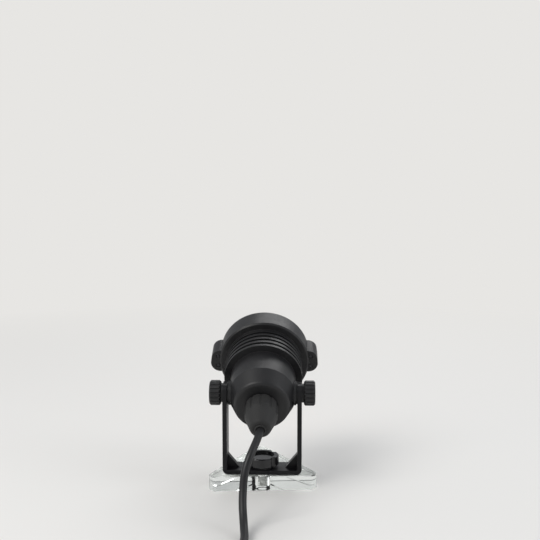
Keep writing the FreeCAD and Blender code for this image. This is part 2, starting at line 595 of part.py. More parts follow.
def make_head_housing():
    body = new_body("head_housing")
    outline = sketch_on(body, "YZ_Plane", "housing_outline")
    polygon(outline, [
        ("tail_station", "0"), ("tail_station", "tail_radius"), ("waist_station", "waist_radius"),
        ("fin_station", "waist_radius"), ("fin_station", "fin_radius"), ("flange_station", "fin_radius"),
        ("flange_station", "flange_radius"), ("split_station", "flange_radius"), ("split_station", "0")])
    shell = revolve(body, "Revolution", "housing_turned", outline)
    tail = dress(body, "Fillet", "tail_edge", shell,
                 ring_edge(size("tail_station"), size("tail_radius"), 1), "tail_round")
    dress(body, "Chamfer", "flange_edge", tail,
          ring_edge(size("flange_station"), size("flange_radius"), 1), "flange_bevel")
    add_lugs(body, "housing_lugs", "lug_rear", "split_station - lug_rear")

    bosses = sketch_on(body, "YZ_Plane", "boss_outline")
    circles(bosses, [("0", "0")], "boss_radius")
    extrude(body, "Pad", "pivot_bosses", bosses, f"2 * {BOSS_FACE}", both_ways=True)

    groove = sketch_on(body, "YZ_Plane", "fin_groove")
    rear, floor = "(fin_station + fin_gap)", "(fin_radius - fin_depth)"
    polygon(groove, [(rear, floor), (rear, "fin_radius + overcut"),
                     (f"{rear} + fin_gap", "fin_radius + overcut"), (f"{rear} + fin_gap", floor)])
    cut = revolve(body, "Groove", "fin_groove_cut", groove)
    in_rows(body, cut, groove, "fins", "fin_pitch", "fin_grooves")

    chamber = sketch_on(body, "YZ_Plane", "chamber_outline")
    polygon(chamber, [
        (REAR_WALL_FRONT, "0"), (REAR_WALL_FRONT, "rear_bore"), ("driver_seat", "rear_bore"),
        ("driver_seat", "driver_bore"), ("plate_seat", "driver_bore"), ("plate_seat", "front_bore"),
        ("filter_seat", "front_bore"), ("filter_seat", "lens_radius + fitted"),
        ("split_station + overcut", "lens_radius + fitted"), ("split_station + overcut", "0")])
    revolve(body, "Groove", "chambers", chamber)
    gland = sketch_on(body, "XZ_Plane", "gland_hole", "-(tail_station - overcut)")
    circles(gland, [("0", "0")], "gland_thread_radius + fitted")
    extrude(body, "Pocket", "gland_bore", gland, "rear_wall + 2 * overcut", reverse=False)
    pivots = sketch_on(body, "YZ_Plane", "tilt_screw_holes")
    circles(pivots, [("0", "0")], "tilt_screw_radius + running")
    extrude(body, "Pocket", "tilt_screw_bores", pivots, f"2 * ({BOSS_FACE} + overcut)", both_ways=True)
    lugs = sketch_on(body, "XZ_Plane", "lug_holes", "-(split_station + overcut)")
    circles(lugs, lug_screw_places(), "lug_screw_radius + fitted")
    extrude(body, "Pocket", "lug_bores", lugs, "split_station - lug_rear + 2 * overcut", reverse=True)
    board = sketch_on(body, "XZ_Plane", "board_holes", "-(plate_seat + overcut)")
    circles(board, board_screw_places(), "board_screw_radius + fitted")
    extrude(body, "Pocket", "board_bores", board,
            "board_screw_length - plate_thickness - board_thickness + 2 * overcut", reverse=True)
    return on_head(body)


def make_front_bezel():
    body = new_body("front_bezel")
    outline = sketch_on(body, "YZ_Plane", "bezel_outline")
    polygon(outline, [
        ("split_station", "lens_radius + fitted"), ("split_station", "flange_radius"),
        ("bezel_station", "flange_radius"), ("bezel_station", "bezel_flare"),
        (f"{BEZEL_LIP} + bezel_lip", "bezel_opening"), (BEZEL_LIP, "bezel_opening"),
        (BEZEL_LIP, "lens_radius + fitted")])
    ring = revolve(body, "Revolution", "bezel_turned", outline)
    dress(body, "Fillet", "bezel_edge", ring,
          ring_edge(size("bezel_station"), size("flange_radius"), 1), "bezel_round")
    add_lugs(body, "bezel_lugs", "split_station", "lug_front - split_station")
    holes = sketch_on(body, "XZ_Plane", "bezel_holes", "-(lug_front + overcut)")
    circles(holes, lug_screw_places(), "lug_screw_radius + fitted")
    extrude(body, "Pocket", "bezel_bores", holes, "lug_front - split_station + 2 * overcut", reverse=True)
    sinks = sketch_on(body, "XZ_Plane", "bezel_sinks", "-(lug_front + overcut)")
    circles(sinks, lug_screw_places(), "lug_screw_head + fitted")
    extrude(body, "Pocket", "bezel_counterbores", sinks, "lug_screw_sunk + overcut", reverse=True)
    return on_head(body)


def screws(name, places, head_start, head_height, head_radius, shank_radius, length):
    """Like screws that point backwards, with their heads in front: heads from head_start forwards."""
    body = new_body(name)
    shank = sketch_on(body, "XZ_Plane", name + "_shanks", f"-({head_start} - {length})")
    circles(shank, places, shank_radius)
    extrude(body, "Pad", name + "_shank_pads", shank, f"{length} + {head_height} / 2", reverse=True)
    head = sketch_on(body, "XZ_Plane", name + "_heads", f"-({head_start})")
    circles(head, places, head_radius)
    extrude(body, "Pad", name + "_head_pads", head, head_height, reverse=True)
    return on_head(body)


# ---------------------------------------------------------------- optics
def make_lens(name, back, radius, rim, dome_radius, dome_height):
    """A lens with a flat back, a straight rim and a domed front."""
    body = new_body(name)
    sketch = sketch_on(body, "YZ_Plane", name + "_outline")
    first, apex = f"({back} + {rim})", f"({back} + {rim} + {dome_height})"
    points = [(0, 0), (0, 2), (1, 2), (1, 1.6)]  # a rough shape, which the formulas then pull right
    for start, end in zip(points, points[1:]):
        sketch.addGeometry(Part.LineSegment(V(*start, 0), V(*end, 0)), False)
    sketch.addGeometry(Part.ArcOfCircle(Part.Circle(V(-1, 0, 0), V(0, 0, 1), 2.5), 0, 0.7), False)
    sketch.addGeometry(Part.LineSegment(V(1.5, 0, 0), V(0, 0, 0)), False)
    for a, end, b, start in ((0, 2, 1, 1), (1, 2, 2, 1), (2, 2, 3, 2), (3, 1, 4, 1), (4, 2, 0, 1)):
        sketch.addConstraint(Sketcher.Constraint("Coincident", a, end, b, start))
    hold_point(sketch, 0, 1, back, "0")
    hold_point(sketch, 1, 1, back, radius)
    hold_point(sketch, 2, 1, first, radius)
    hold_point(sketch, 3, 2, first, dome_radius)
    hold_point(sketch, 4, 1, apex, "0")
    sketch.addConstraint(Sketcher.Constraint("PointOnObject", 3, 3, -1))
    revolve(body, "Revolution", name + "_turned", sketch)
    return on_head(body)


def make_optics():
    make_lens("crystal_lens", LENS_BACK, "lens_radius", "lens_rim", "lens_dome_radius", "lens_dome_height")
    on_head(turned("lens_gasket", [
        (LENS_RIM_FRONT, "gasket_inner"), (LENS_RIM_FRONT, "lens_radius"), (BEZEL_LIP, "lens_radius"),
        (BEZEL_LIP, "gasket_inner")]))
    on_head(turned("color_filter", [
        ("filter_seat", "0"), ("filter_seat", "lens_radius"), (LENS_BACK, "lens_radius"), (LENS_BACK, "0")]))
    outside = "(front_bore - fitted)"
    inside = f"({outside} - tunnel_wall)"
    holder_bore = "(holder_radius + fitted)"
    on_head(turned("light_tunnel", [
        (BOARD_FRONT, inside), (BOARD_FRONT, outside), ("filter_seat", outside), ("filter_seat", inside),
        ("second_baffle + baffle_thickness", inside),
        ("second_baffle + baffle_thickness", "second_baffle_bore"),
        ("second_baffle", "second_baffle_bore"), ("second_baffle", inside),
        ("baffle_station + baffle_thickness", inside), ("baffle_station + baffle_thickness", holder_bore),
        ("baffle_station", holder_bore), ("baffle_station", inside)]))
    on_head(turned("condenser_holder", [
        (BOARD_FRONT, "holder_rear_bore"), (BOARD_FRONT, "holder_radius"), (HOLDER_FRONT, "holder_radius"),
        (HOLDER_FRONT, "condenser_radius + fitted"), (CONDENSER_BACK, "condenser_radius + fitted"),
        (CONDENSER_BACK, "condenser_radius - condenser_ledge")]))
    make_lens("condenser_lens", CONDENSER_BACK, "condenser_radius", "condenser_rim",
              "condenser_dome_radius", "condenser_height")


# ---------------------------------------------------------------- light source and driver
def wire_places():
    return [(f"{side}wire_spacing / 2", "-wire_hole_drop") for side in ("", "-")]


def make_disc_with_holes(name, start, thickness, radius, holes):
    body = new_body(name)
    disc = sketch_on(body, "XZ_Plane", name + "_disc", f"-{start}")
    circles(disc, [("0", "0")], radius)
    extrude(body, "Pad", name + "_pad", disc, thickness, reverse=True)
    for i, (places, hole) in enumerate(holes):
        sketch = sketch_on(body, "XZ_Plane", f"{name}_holes_{i}", f"-({start} + {thickness} + overcut)")
        circles(sketch, places, hole)
        extrude(body, "Pocket", f"{name}_bores_{i}", sketch, f"{thickness} + 2 * overcut", reverse=True)
    return on_head(body)


def make_light_source():
    through = [(board_screw_places(), "board_screw_radius + fitted"),
               ([("0", "-wire_hole_drop")], "wire_hole_radius")]
    make_disc_with_holes("heat_plate", "plate_seat", "plate_thickness", "front_bore - fitted", through)
    make_disc_with_holes("led_board", BOARD_BACK, "board_thickness", "front_bore - fitted * 3",
                         through[:1] + [([("0", "-wire_hole_drop")],
                                         "wire_spacing / 2 + wire_radius + fitted / 2")])
    make_disc_with_holes("led_emitter", BOARD_FRONT, "emitter_thickness", "emitter_radius", [])
    screws("board_screws", board_screw_places(), BOARD_FRONT, "board_screw_head_height",
           "board_screw_head", "board_screw_radius", "board_screw_length")
    make_disc_with_holes("driver_board", "driver_seat", "driver_thickness", "driver_bore - fitted",
                         [(wire_places(), "wire_radius + fitted / 2")])
    wires = new_body("lead_wires")
    run = sketch_on(wires, "XZ_Plane", "wire_section", "-(driver_seat - overcut)")
    circles(run, wire_places(), "wire_radius")
    extrude(wires, "Pad", "wire_runs", run, f"{BOARD_FRONT} - driver_seat + overcut", reverse=True)
    on_head(wires)


def make_driver_parts():
    """A choke, a capacitor and a chip standing on the driver board."""
    face = "(driver_seat + driver_thickness)"
    body = new_body("driver_parts")
    for name, side in (("choke", "-"), ("capacitor", "")):
        can = sketch_on(body, "XZ_Plane", name, f"-{face}")
        circles(can, [(f"{side}{name}_across", f"{name}_up")], name + "_radius")
        extrude(body, "Pad", name + "_can", can, name + "_height", reverse=True)
    chip = sketch_on(body, "XZ_Plane", "chip", f"-{face}")
    left, right = "chip_across", "chip_across + chip_width"
    foot, top = "-chip_drop", "chip_length - chip_drop"
    polygon(chip, [(left, foot), (right, foot), (right, top), (left, top)])
    extrude(body, "Pad", "chip_block", chip, "chip_height", reverse=True)
    return on_head(body)


# ---------------------------------------------------------------- gland
def make_gland():
    bore = "(cable_radius + gripped)"
    thread_end = f"({REAR_WALL_FRONT} + gland_nut_thickness + gland_thread_spare)"
    barrel_end = f"({GLAND_SHOULDER} - gland_barrel)"
    body = turned("cable_gland", [
        ("-gland_end", bore), ("-gland_end", "gland_end_radius"), (barrel_end, "gland_radius"),
        (GLAND_SHOULDER, "gland_radius"), (GLAND_SHOULDER, "gland_thread_radius"),
        (thread_end, "gland_thread_radius"), (thread_end, bore)])
    dress(body, "Fillet", "gland_tip", body.Tip,
          ring_edge(-size("gland_end"), size("gland_end_radius"), 1), "gland_round")
    groove = sketch_on(body, "XZ_Plane", "gland_groove", f"-({GLAND_SHOULDER} + overcut)")
    circles(groove, [("0", "gland_radius + gland_grip_radius - gland_grip_depth")], "gland_grip_radius")
    cut = extrude(body, "Pocket", "gland_groove_cut", groove, "gland_barrel + 3 * overcut", reverse=True)
    around(body, cut, groove, "gland_grips", "gland_grip")
    on_head(body)
    rim = "(gland_radius - gland_grip_depth - gland_seal_inset)"
    on_head(turned("gland_seal", [
        (GLAND_SHOULDER, "gland_thread_radius + fitted"), (GLAND_SHOULDER, rim), ("tail_station", rim),
        ("tail_station", "gland_thread_radius + fitted")]))
    nut = new_body("gland_nut")
    flat = sketch_on(nut, "XZ_Plane", "nut_outline", f"-{REAR_WALL_FRONT}")
    polygon(flat, [(f"gland_nut_width * cos({angle})", f"gland_nut_width * sin({angle})")
                   for angle in range(0, 360, 60)])
    circles(flat, [("0", "0")], "gland_thread_radius + fitted / 2")
    extrude(nut, "Pad", "nut_pad", flat, "gland_nut_thickness", reverse=True)
    on_head(nut)
    cable_end = f"({thread_end} + cable_inside)"
    on_head(turned("cable_inner_end", [
        ("-gland_end", "0"), ("-gland_end", "cable_radius"), (cable_end, "cable_radius"), (cable_end, "0")]))


# ---------------------------------------------------------------- cable
# The cable leaves the gland, drops behind the bracket and runs back along the table.
CABLE_DROP = [(-1.6, -51.9, 45.4), (-4.4, -57.3, 41.1), (-7.1, -61.1, 35.9), (-8.3, -64.2, 30.0),
              (-8.4, -67.2, 21.9), (-8.4, -72.3, 14.0), (-8.0, -77.8, 8.5), (-7.8, -84.6, 4.7),
              (-6.8, -94.1, 2.5), (-7.5, -103.0, 2.5), (-12.0, -113.6, 2.5), (-17.1, -123.2, 2.5),
              (-24.6, -132.4, 2.5), (-30.8, -142.9, 2.5)]
EXIT_RUN = 6.4
COIL_RUN = 11.5
ARC_SHARE = 0.45  # of the shorter run beside a corner, which the corner's arc takes
# It is put away in a coil of two layers: it winds inwards, climbs over half a turn and winds out again.
COIL_CENTRE = (5.0, -171.0)
COIL_QUARTERS = 28
CLIMB_FROM, CLIMB_TO = 13, 15
GAP_STEP = 1.5  # from point to point when the coil's least gap is measured
# From the coil the cable comes down beside it and ends in the plug.
CABLE_TAIL = [(-31.7, -198.6, 7.0), (-25.2, -208.7, 5.6), (-15.7, -216.1, 4.5)]
PLUG_PLACE = (7.6, -220.4)
PLUG_TURN = -2.0  # degrees from +X
PLUG_RUN = 12.0


def tube_on(points, radius, name):
    """A tube on straight runs joined by tangent arcs. Prints its bend radii and its length."""
    edges, radii = [], []
    here = points[0]
    for before, corner, after in zip(points, points[1:], points[2:]):
        back, on = (before - corner), (after - corner)
        turn = math.pi - back.getAngle(on)
        reach = ARC_SHARE * min(back.Length, on.Length)
        radii.append(reach / math.tan(turn / 2))
        back.normalize()
        on.normalize()
        start, end = corner + back * reach, corner + on * reach
        inward = back + on
        inward.normalize()
        centre = corner + inward * math.hypot(reach, radii[-1])
        middle = centre - inward * radii[-1]
        edges.append(Part.LineSegment(here, start).toShape())
        edges.append(Part.Arc(start, middle, end).toShape())
        here = end
    edges.append(Part.LineSegment(here, points[-1]).toShape())
    path = Part.Wire(edges)
    solid = sweep(path, points[0], points[1] - points[0], radius)
    print(f"{name}: {path.Length:.1f} mm, bends from {min(radii):.1f} mm, "
          f"volume {share_of_ideal(solid, path.Length, radius):.4f} of ideal")
    print("   radii", " ".join(f"{r:.0f}" for r in radii))
    return solid, path.Length


def sweep(path, start, direction, radius):
    """A solid along the path whose section has flat sides, with its corners at the radius."""
    across = FreeCAD.Rotation(V(0, 0, 1), direction)
    sides = int(size("cable_sides"))
    corners = [V(math.cos(TURN * i / sides), math.sin(TURN * i / sides), 0) for i in range(sides)]
    ring = [start + across.multVec(corner) * radius for corner in corners]
    profile = Part.makePolygon(ring + ring[:1])
    shell = Part.BRepOffsetAPI.MakePipeShell(path)
    shell.add(profile, False, False)
    shell.build()
    shell.makeSolid()
    return shell.shape()


def share_of_ideal(solid, length, radius):
    """The solid's volume over that of its section times its length."""
    sides = int(size("cable_sides"))
    return solid.Volume / (length * sides / 2 * radius ** 2 * math.sin(TURN / sides))


def coil_at(quarter):
    """The coil's centreline after so many quarter turns, and its direction there."""
    step, layer, middle = size("coil_pitch") / 4, size("coil_layer"), COIL_QUARTERS / 2
    climb = CLIMB_TO - CLIMB_FROM
    radius = size("coil_radius") - step * (middle - abs(quarter - middle))
    climbed = min(max(quarter - CLIMB_FROM, 0), climb) / climb
    angle = math.pi + quarter * math.pi / 2
    out, along = V(math.cos(angle), math.sin(angle), 0), V(-math.sin(angle), math.cos(angle), 0)
    outwards = (quarter > middle) - (quarter < middle)
    rise = 1.5 * layer / climb if CLIMB_FROM < quarter < CLIMB_TO else 0
    direction = along * (radius * math.pi / 2) + out * (outwards * step) + V(0, 0, rise)
    direction.normalize()
    return V(*COIL_CENTRE, size("cable_radius") + layer * climbed) + out * radius, direction


def biarc(start, leave, end, arrive):
    """Two circular arcs from start to end that leave and arrive in the given directions."""
    chord, both = end - start, leave + arrive
    a, b, c = both.dot(both) - 4, -2 * chord.dot(both), chord.dot(chord)
    reach = (-b - math.sqrt(b * b - 4 * a * c)) / (2 * a)
    first, second = start + leave * reach, end - arrive * reach
    middle = (first + second) * 0.5
    arcs = []
    for p, q, r in ((start, first, middle), (middle, second, end)):
        turn = (q - p).getAngle(r - q)
        radius = (q - p).Length / math.tan(turn / 2)
        inward = (p - q).normalize() + (r - q).normalize()
        inward.normalize()
        top = q + inward * (math.hypot((q - p).Length, radius) - radius)
        arcs.append(Part.Arc(p, top, r))
    return arcs


def make_coil():
    radius = size("cable_radius")
    stations = [coil_at(quarter) for quarter in range(COIL_QUARTERS + 1)]
    arcs = []
    for (p, t), (q, u) in zip(stations, stations[1:]):
        arcs += biarc(p, t, q, u)
    straight = 2 * radius
    begin = stations[0][0] - stations[0][1] * straight
    finish = stations[-1][0] + stations[-1][1] * straight
    edges = [Part.LineSegment(begin, stations[0][0]).toShape()] + [a.toShape() for a in arcs]
    edges.append(Part.LineSegment(stations[-1][0], finish).toShape())
    path = Part.Wire(edges)
    solid = sweep(path, begin, stations[0][1], radius)

    points = path.discretize(Distance=GAP_STEP)
    apart = int(4 * math.pi * radius / GAP_STEP)
    gap = min((points[i] - points[j]).Length
              for i in range(len(points)) for j in range(i + apart, len(points)))
    tightest = min(edge.Curve.Radius for edge in path.Edges if isinstance(edge.Curve, Part.Circle))
    print(f"cord_coil: {path.Length:.1f} mm, {COIL_QUARTERS / 4} turns, tightest {tightest:.1f} mm, "
          f"least gap to itself {gap - 2 * radius:.2f} mm, "
          f"volume {share_of_ideal(solid, path.Length, radius):.4f} of ideal")
    return solid, path.Length, (begin, stations[0][1]), (finish, stations[-1][1])


def feature(name, shape):
    doc.addObject("Part::Feature", name).Shape = shape


def make_cable():
    radius = size("cable_radius")
    exit_place = head_place()
    leave = exit_place.Rotation.multVec(V(0, -1, 0))
    exit_point = exit_place.multVec(V(0, -size("gland_end"), 0))
    coil, coil_length, (begin, first), (finish, last) = make_coil()
    points = [exit_point, exit_point + leave * EXIT_RUN] + [V(*p) for p in CABLE_DROP]
    drop, drop_length = tube_on(points + [begin - first * COIL_RUN, begin], radius, "power_cord")
    plug_axis = V(math.cos(math.radians(PLUG_TURN)), math.sin(math.radians(PLUG_TURN)), 0)
    plug_start = V(*PLUG_PLACE, size("plug_height") / 2)
    points = [finish, finish + last * COIL_RUN] + [V(*p) for p in CABLE_TAIL]
    tail, tail_length = tube_on(points + [plug_start - plug_axis * PLUG_RUN, plug_start], radius, "cord_tail")
    feature("power_cord", drop)
    feature("cord_coil", coil)
    feature("cord_tail", tail)
    inner = size("gland_end") + size("tail_station") + size("rear_wall") + size("gland_nut_thickness")
    print(f"cable in all: {drop_length + coil_length + tail_length + inner:.0f} mm")
    make_plug(FreeCAD.Placement(plug_start, FreeCAD.Rotation(V(1, 0, 0), plug_axis)))


# ---------------------------------------------------------------- plug
def box_on(body, name, start, width, height, middle="0"):
    """The outline of a box along +X: its middle is on the body's X axis or that far above it."""
    sketch = sketch_on(body, "YZ_Plane", name, start)
    low, high = f"{middle} - {height} / 2", f"{middle} + {height} / 2"
    polygon(sketch, [(f"-{width} / 2", low), (f"{width} / 2", low), (f"{width} / 2", high),
                     (f"-{width} / 2", high)])
    return sketch


def make_grip():
    """The moulded grip: a tapered neck, a rounded block and finger ribs in both sides."""
    grip = new_body("plug_grip")
    neck = sketch_on(grip, "XZ_Plane", "plug_neck_outline")
    polygon(neck, [("0", "0"), ("0", "cable_radius + plug_neck_wall"),
                   ("plug_neck + overcut", "plug_height / 2 - plug_neck_step"), ("plug_neck + overcut", "0")])
    revolve(grip, "Revolution", "plug_neck_turned", neck)
    outline = box_on(grip, "plug_outline", "plug_neck", "plug_width", "plug_height")
    block = extrude(grip, "Pad", "plug_block", outline, "plug_length")
    dress(grip, "Fillet", "plug_edges", block, line_edge(
        V(1, 0, 0), lambda m: abs(m.y) > size("plug_width") / 2 - 0.01), "plug_corner")
    grooves = sketch_on(grip, "XY_Plane", "rib_groove", "plug_height")
    start = "(plug_neck + (plug_length - plug_rib_pitch * (plug_ribs - 1) - plug_rib_gap) / 2)"
    for side in ("", "-"):
        polygon(grooves, [
            (start, f"{side}(plug_width / 2 - plug_rib_depth)"), (start, f"{side}(plug_width / 2 + overcut)"),
            (f"{start} + plug_rib_gap", f"{side}(plug_width / 2 + overcut)"),
            (f"{start} + plug_rib_gap", f"{side}(plug_width / 2 - plug_rib_depth)")])
    cut = extrude(grip, "Pocket", "rib_groove_cut", grooves, "2 * plug_height")
    in_rows(grip, cut, grooves, "plug_rib_row", "plug_rib_pitch", "plug_ribs")
    return grip


def make_shell():
    """The metal shell with its two square windows in both broad sides."""
    shell = new_body("plug_shell")
    mouth = "(plug_neck + plug_length + shell_length)"
    outer = box_on(shell, "shell_outline", "plug_neck + plug_length", "shell_width", "shell_height")
    extrude(shell, "Pad", "shell_block", outer, "shell_length")
    inner = box_on(shell, "shell_inside", mouth, "(shell_width - 2 * shell_wall)",
                   "(shell_height - 2 * shell_wall)")
    extrude(shell, "Pocket", "shell_mouth", inner, "shell_length")
    windows = sketch_on(shell, "XY_Plane", "shell_windows", "shell_height")
    rear, front = f"{mouth} - window_back - window_side / 2", f"{mouth} - window_back + window_side / 2"
    for side in ("", "-"):
        near = f"{side}(window_spread - window_side) / 2"
        far = f"{side}(window_spread + window_side) / 2"
        polygon(windows, [(rear, near), (front, near), (front, far), (rear, far)])
    extrude(shell, "Pocket", "window_cuts", windows, "2 * shell_height")
    return shell


def make_tongue():
    """The plastic tongue against the shell's upper wall."""
    tongue = new_body("plug_tongue")
    bar = box_on(tongue, "tongue_outline", "plug_neck + plug_length", "(shell_width - 2 * shell_wall)",
                 "tongue_height", middle="(shell_height / 2 - shell_wall - tongue_height / 2)")
    extrude(tongue, "Pad", "tongue_block", bar, "shell_length - tongue_short")
    return tongue


def make_plug(place):
    for piece in (make_grip(), make_shell(), make_tongue()):
        piece.Placement = place


# ---------------------------------------------------------------- the lamp
make_base_plate()
make_threaded_insert()
make_bracket()
make_clamp()
make_tilt_knob(1, "right")
make_tilt_knob(-1, "left")
make_side_washers("outer_washers", ARM_OUTSIDE, "outer_washer_thickness", "outer_washer_radius")
make_side_washers("friction_washers", BOSS_FACE, "friction_washer_thickness", "friction_washer_radius")
make_head_housing()
make_front_bezel()
screws("lug_screws", lug_screw_places(), "(lug_front - lug_screw_sunk)", "lug_screw_head_height",
       "lug_screw_head", "lug_screw_radius", "(lug_front - lug_screw_sunk - lug_rear)")
make_optics()
make_light_source()
make_driver_parts()
make_gland()
make_cable()
doc.recompute()

kept = [o for o in doc.Objects if o.TypeId in ("PartDesign::Body", "Part::Feature")]
for thing in doc.Objects:
    wrong = {"Invalid", "Error"} & set(thing.State)
    assert not wrong, f"{thing.Name}: {thing.State}"
for thing in kept:
    assert not thing.Shape.isNull() and thing.Shape.isValid(), f"{thing.Label}: shape is not valid"
    assert thing.Shape.Solids, f"{thing.Label}: no solid"

os.makedirs("parts", exist_ok=True)
for thing in kept:
    thing.Shape.exportStep(f"parts/{thing.Label}.step")
print(len(kept), "pieces,", sum(len(thing.Shape.Solids) for thing in kept), "solids")
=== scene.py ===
# %% [markdown]
# # Sunset projection lamp
# A small black spot head tilts in a bent strip bracket that swivels on a clear three-cornered base.
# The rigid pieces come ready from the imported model, at their real size and place. This file gives
# them their finishes, and models again what that model keeps plain: the cable, the lug screws, the
# sleeve in the base and the lens. It adds two small pieces of trim, the rubber ring at the gland and
# the plug's contacts. It is written as a lesson, so each step says first what the thing is on a
# real lamp.

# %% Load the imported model
import json
import math

import bmesh
import bpy
from mathutils import Matrix, Vector


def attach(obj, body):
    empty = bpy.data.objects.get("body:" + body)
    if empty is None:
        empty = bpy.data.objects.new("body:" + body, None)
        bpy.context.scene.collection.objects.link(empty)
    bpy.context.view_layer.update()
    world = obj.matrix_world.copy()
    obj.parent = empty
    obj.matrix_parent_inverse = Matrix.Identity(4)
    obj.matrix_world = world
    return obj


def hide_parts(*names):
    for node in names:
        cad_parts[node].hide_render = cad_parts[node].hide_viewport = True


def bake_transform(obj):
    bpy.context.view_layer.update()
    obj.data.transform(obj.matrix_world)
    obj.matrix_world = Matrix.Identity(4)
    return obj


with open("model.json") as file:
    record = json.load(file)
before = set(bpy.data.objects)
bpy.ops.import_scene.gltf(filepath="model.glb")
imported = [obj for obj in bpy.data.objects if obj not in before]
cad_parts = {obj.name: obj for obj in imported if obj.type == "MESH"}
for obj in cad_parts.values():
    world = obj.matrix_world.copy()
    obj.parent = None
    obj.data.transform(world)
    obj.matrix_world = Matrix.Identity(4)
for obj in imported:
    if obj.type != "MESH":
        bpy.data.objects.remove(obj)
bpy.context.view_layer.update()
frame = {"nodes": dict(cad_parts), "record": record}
NODES = frame["nodes"]
print("pieces of the packed model:", len(NODES))

# %% [markdown]
# ## Camera
# The lamp was photographed from behind and a little above, from about half a metre away. A lens of
# 53 mm on a 36 mm sensor gives the same widening towards the front as in the picture, and the
# camera looks down by 5.6 degrees. It could be placed by eye, but an outline then looks wrong
# without a clear reason. So its place was found by fitting the base's corners, the knobs and the
# round edge of the head to their places in the picture.

# %% Make the camera
CAMERA_PLACE = (0.01936, -0.54078, 0.2033)
CAMERA_PITCH = math.radians(84.4)  # up from straight down
CAMERA_YAW = math.radians(1.5)
FOCAL_LENGTH, SENSOR_WIDTH = 53.33, 36.0  # in millimetres, as on a lens
NEAREST_SEEN = 0.01

optics = bpy.data.cameras.new("photo_lens")
optics.lens = FOCAL_LENGTH
optics.sensor_width = SENSOR_WIDTH
optics.clip_start = NEAREST_SEEN
camera = bpy.data.objects.new("photo_camera", optics)
camera.location = CAMERA_PLACE
camera.rotation_euler = (CAMERA_PITCH, 0.0, CAMERA_YAW)
bpy.context.scene.collection.objects.link(camera)
bpy.context.scene.camera = camera
print("camera at", CAMERA_PLACE, "looking", round(90 - math.degrees(CAMERA_PITCH), 1), "degrees down")

# %% [markdown]
# ## Small helpers for meshes
# Every new piece is a mesh made in code. One helper turns points and faces into an object. The
# other turns its faces outwards and makes it smooth, except where two faces meet at a clear angle,
# as on a moulded or turned thing. No real edge is perfectly sharp, and its narrow rounding catches
# the light, but that rounding comes later, from the finish.

# %% Mesh helpers
SHARP = math.radians(35)


def smooth_faces(mesh, sharp):
    """Turns every face outwards and smooths every edge that is blunter than this angle."""
    shape = bmesh.new()
    shape.from_mesh(mesh)
    bmesh.ops.recalc_face_normals(shape, faces=shape.faces)
    for face in shape.faces:
        face.smooth = True
    for edge in shape.edges:
        edge.smooth = len(edge.link_faces) != 2 or edge.calc_face_angle(0.0) < sharp
    shape.to_mesh(mesh)
    shape.free()


def mesh_piece(name, points, faces, sharp=SHARP):
    """An object in the scene with these points, in metres, and faces."""
    mesh = bpy.data.meshes.new(name)
    mesh.from_pydata([tuple(p) for p in points], [], faces)
    mesh.validate()
    piece = bpy.data.objects.new(name, mesh)
    bpy.context.scene.collection.objects.link(piece)
    smooth_faces(mesh, sharp)
    return piece


print("mesh helpers ready")

# %% [markdown]
# ## The cable
# A 5 mm round jacket leaves the gland, bends down under its own weight, lies on the floor and is
# wound into a neat coil of seven turns, the usual way to put away what isn't needed. A cable can't
# stretch, so its route keeps it 1.54 m long from the gland to the plug, and the length that the
# route comes to is printed.
# The route is one smooth spline along a few listed points, and the coil's turns are more points of
# the same spline, worked out by a loop. Such a spline cuts inside its points, so the coil's points
# stand out from the turns by just as much as it cuts inside them.

# %% The cable's route
MM = 0.001
CABLE_RADIUS = 2.5 * MM

# The route's points and the coil's sizes are in millimetres.
GLAND_EXIT = (0.0, -39.467, 50.735)
CABLE_DROP = [
    (-0.9, -45.5, 48.5), (-2.7, -51.9, 45.4), (-5.1, -57.3, 41.1), (-7.4, -61.1, 35.9),
    (-9.0, -64.2, 30.0), (-9.6, -67.2, 21.9), (-9.6, -72.3, 14.0), (-8.8, -77.8, 8.5),
    (-8.0, -84.6, 4.7), (-7.0, -94.1, 2.5), (-7.9, -103.0, 2.5), (-12.0, -113.6, 2.5),
    (-17.1, -123.2, 2.5), (-24.6, -132.4, 2.5), (-30.8, -142.9, 2.5), (-34.67, -154.5, 2.5),
]
CABLE_TAIL = [
    (-34.67, -187.5, 7.95), (-31.7, -198.6, 7.0), (-25.2, -208.7, 5.6), (-15.7, -216.1, 4.5),
    (-4.4, -220.0, 4.0),
]
PLUG_PLACE = (7.6, -220.4, 4.0)
COIL_CENTRE = (5.0, -171.0)
COIL_RADIUS = 39.3
COIL_PITCH = 5.5
COIL_TURNS = 7
COIL_STEPS = 16  # points to a turn
CLIMB_FROM, CLIMB_TO = 3.25, 3.75  # the turns between which the cable climbs
LAYERS = (2.5, 7.95)  # heights of the two layers
# Where the spline passes nearest to a point, it takes these shares of it and of each neighbour.
OWN_SHARE, NEIGHBOUR_SHARE = 6 / 8, 1 / 8
STEPS_PER_POINT = 4


def coil_points():
    """The turns wind in for half their number, climb one layer, and wind out again."""
    half = COIL_TURNS / 2
    widen = 1 / (OWN_SHARE + 2 * NEIGHBOUR_SHARE * math.cos(math.tau / COIL_STEPS))
    points = []
    for step in range(COIL_TURNS * COIL_STEPS + 1):
        turn = step / COIL_STEPS
        radius = (COIL_RADIUS - COIL_PITCH * (half - abs(turn - half))) * widen
        angle = math.pi + math.tau * turn
        climb = min(max((turn - CLIMB_FROM) / (CLIMB_TO - CLIMB_FROM), 0.0), 1.0)
        points.append((
            COIL_CENTRE[0] + radius * math.cos(angle),
            COIL_CENTRE[1] + radius * math.sin(angle),
            LAYERS[0] + (LAYERS[1] - LAYERS[0]) * climb,
        ))
    return points


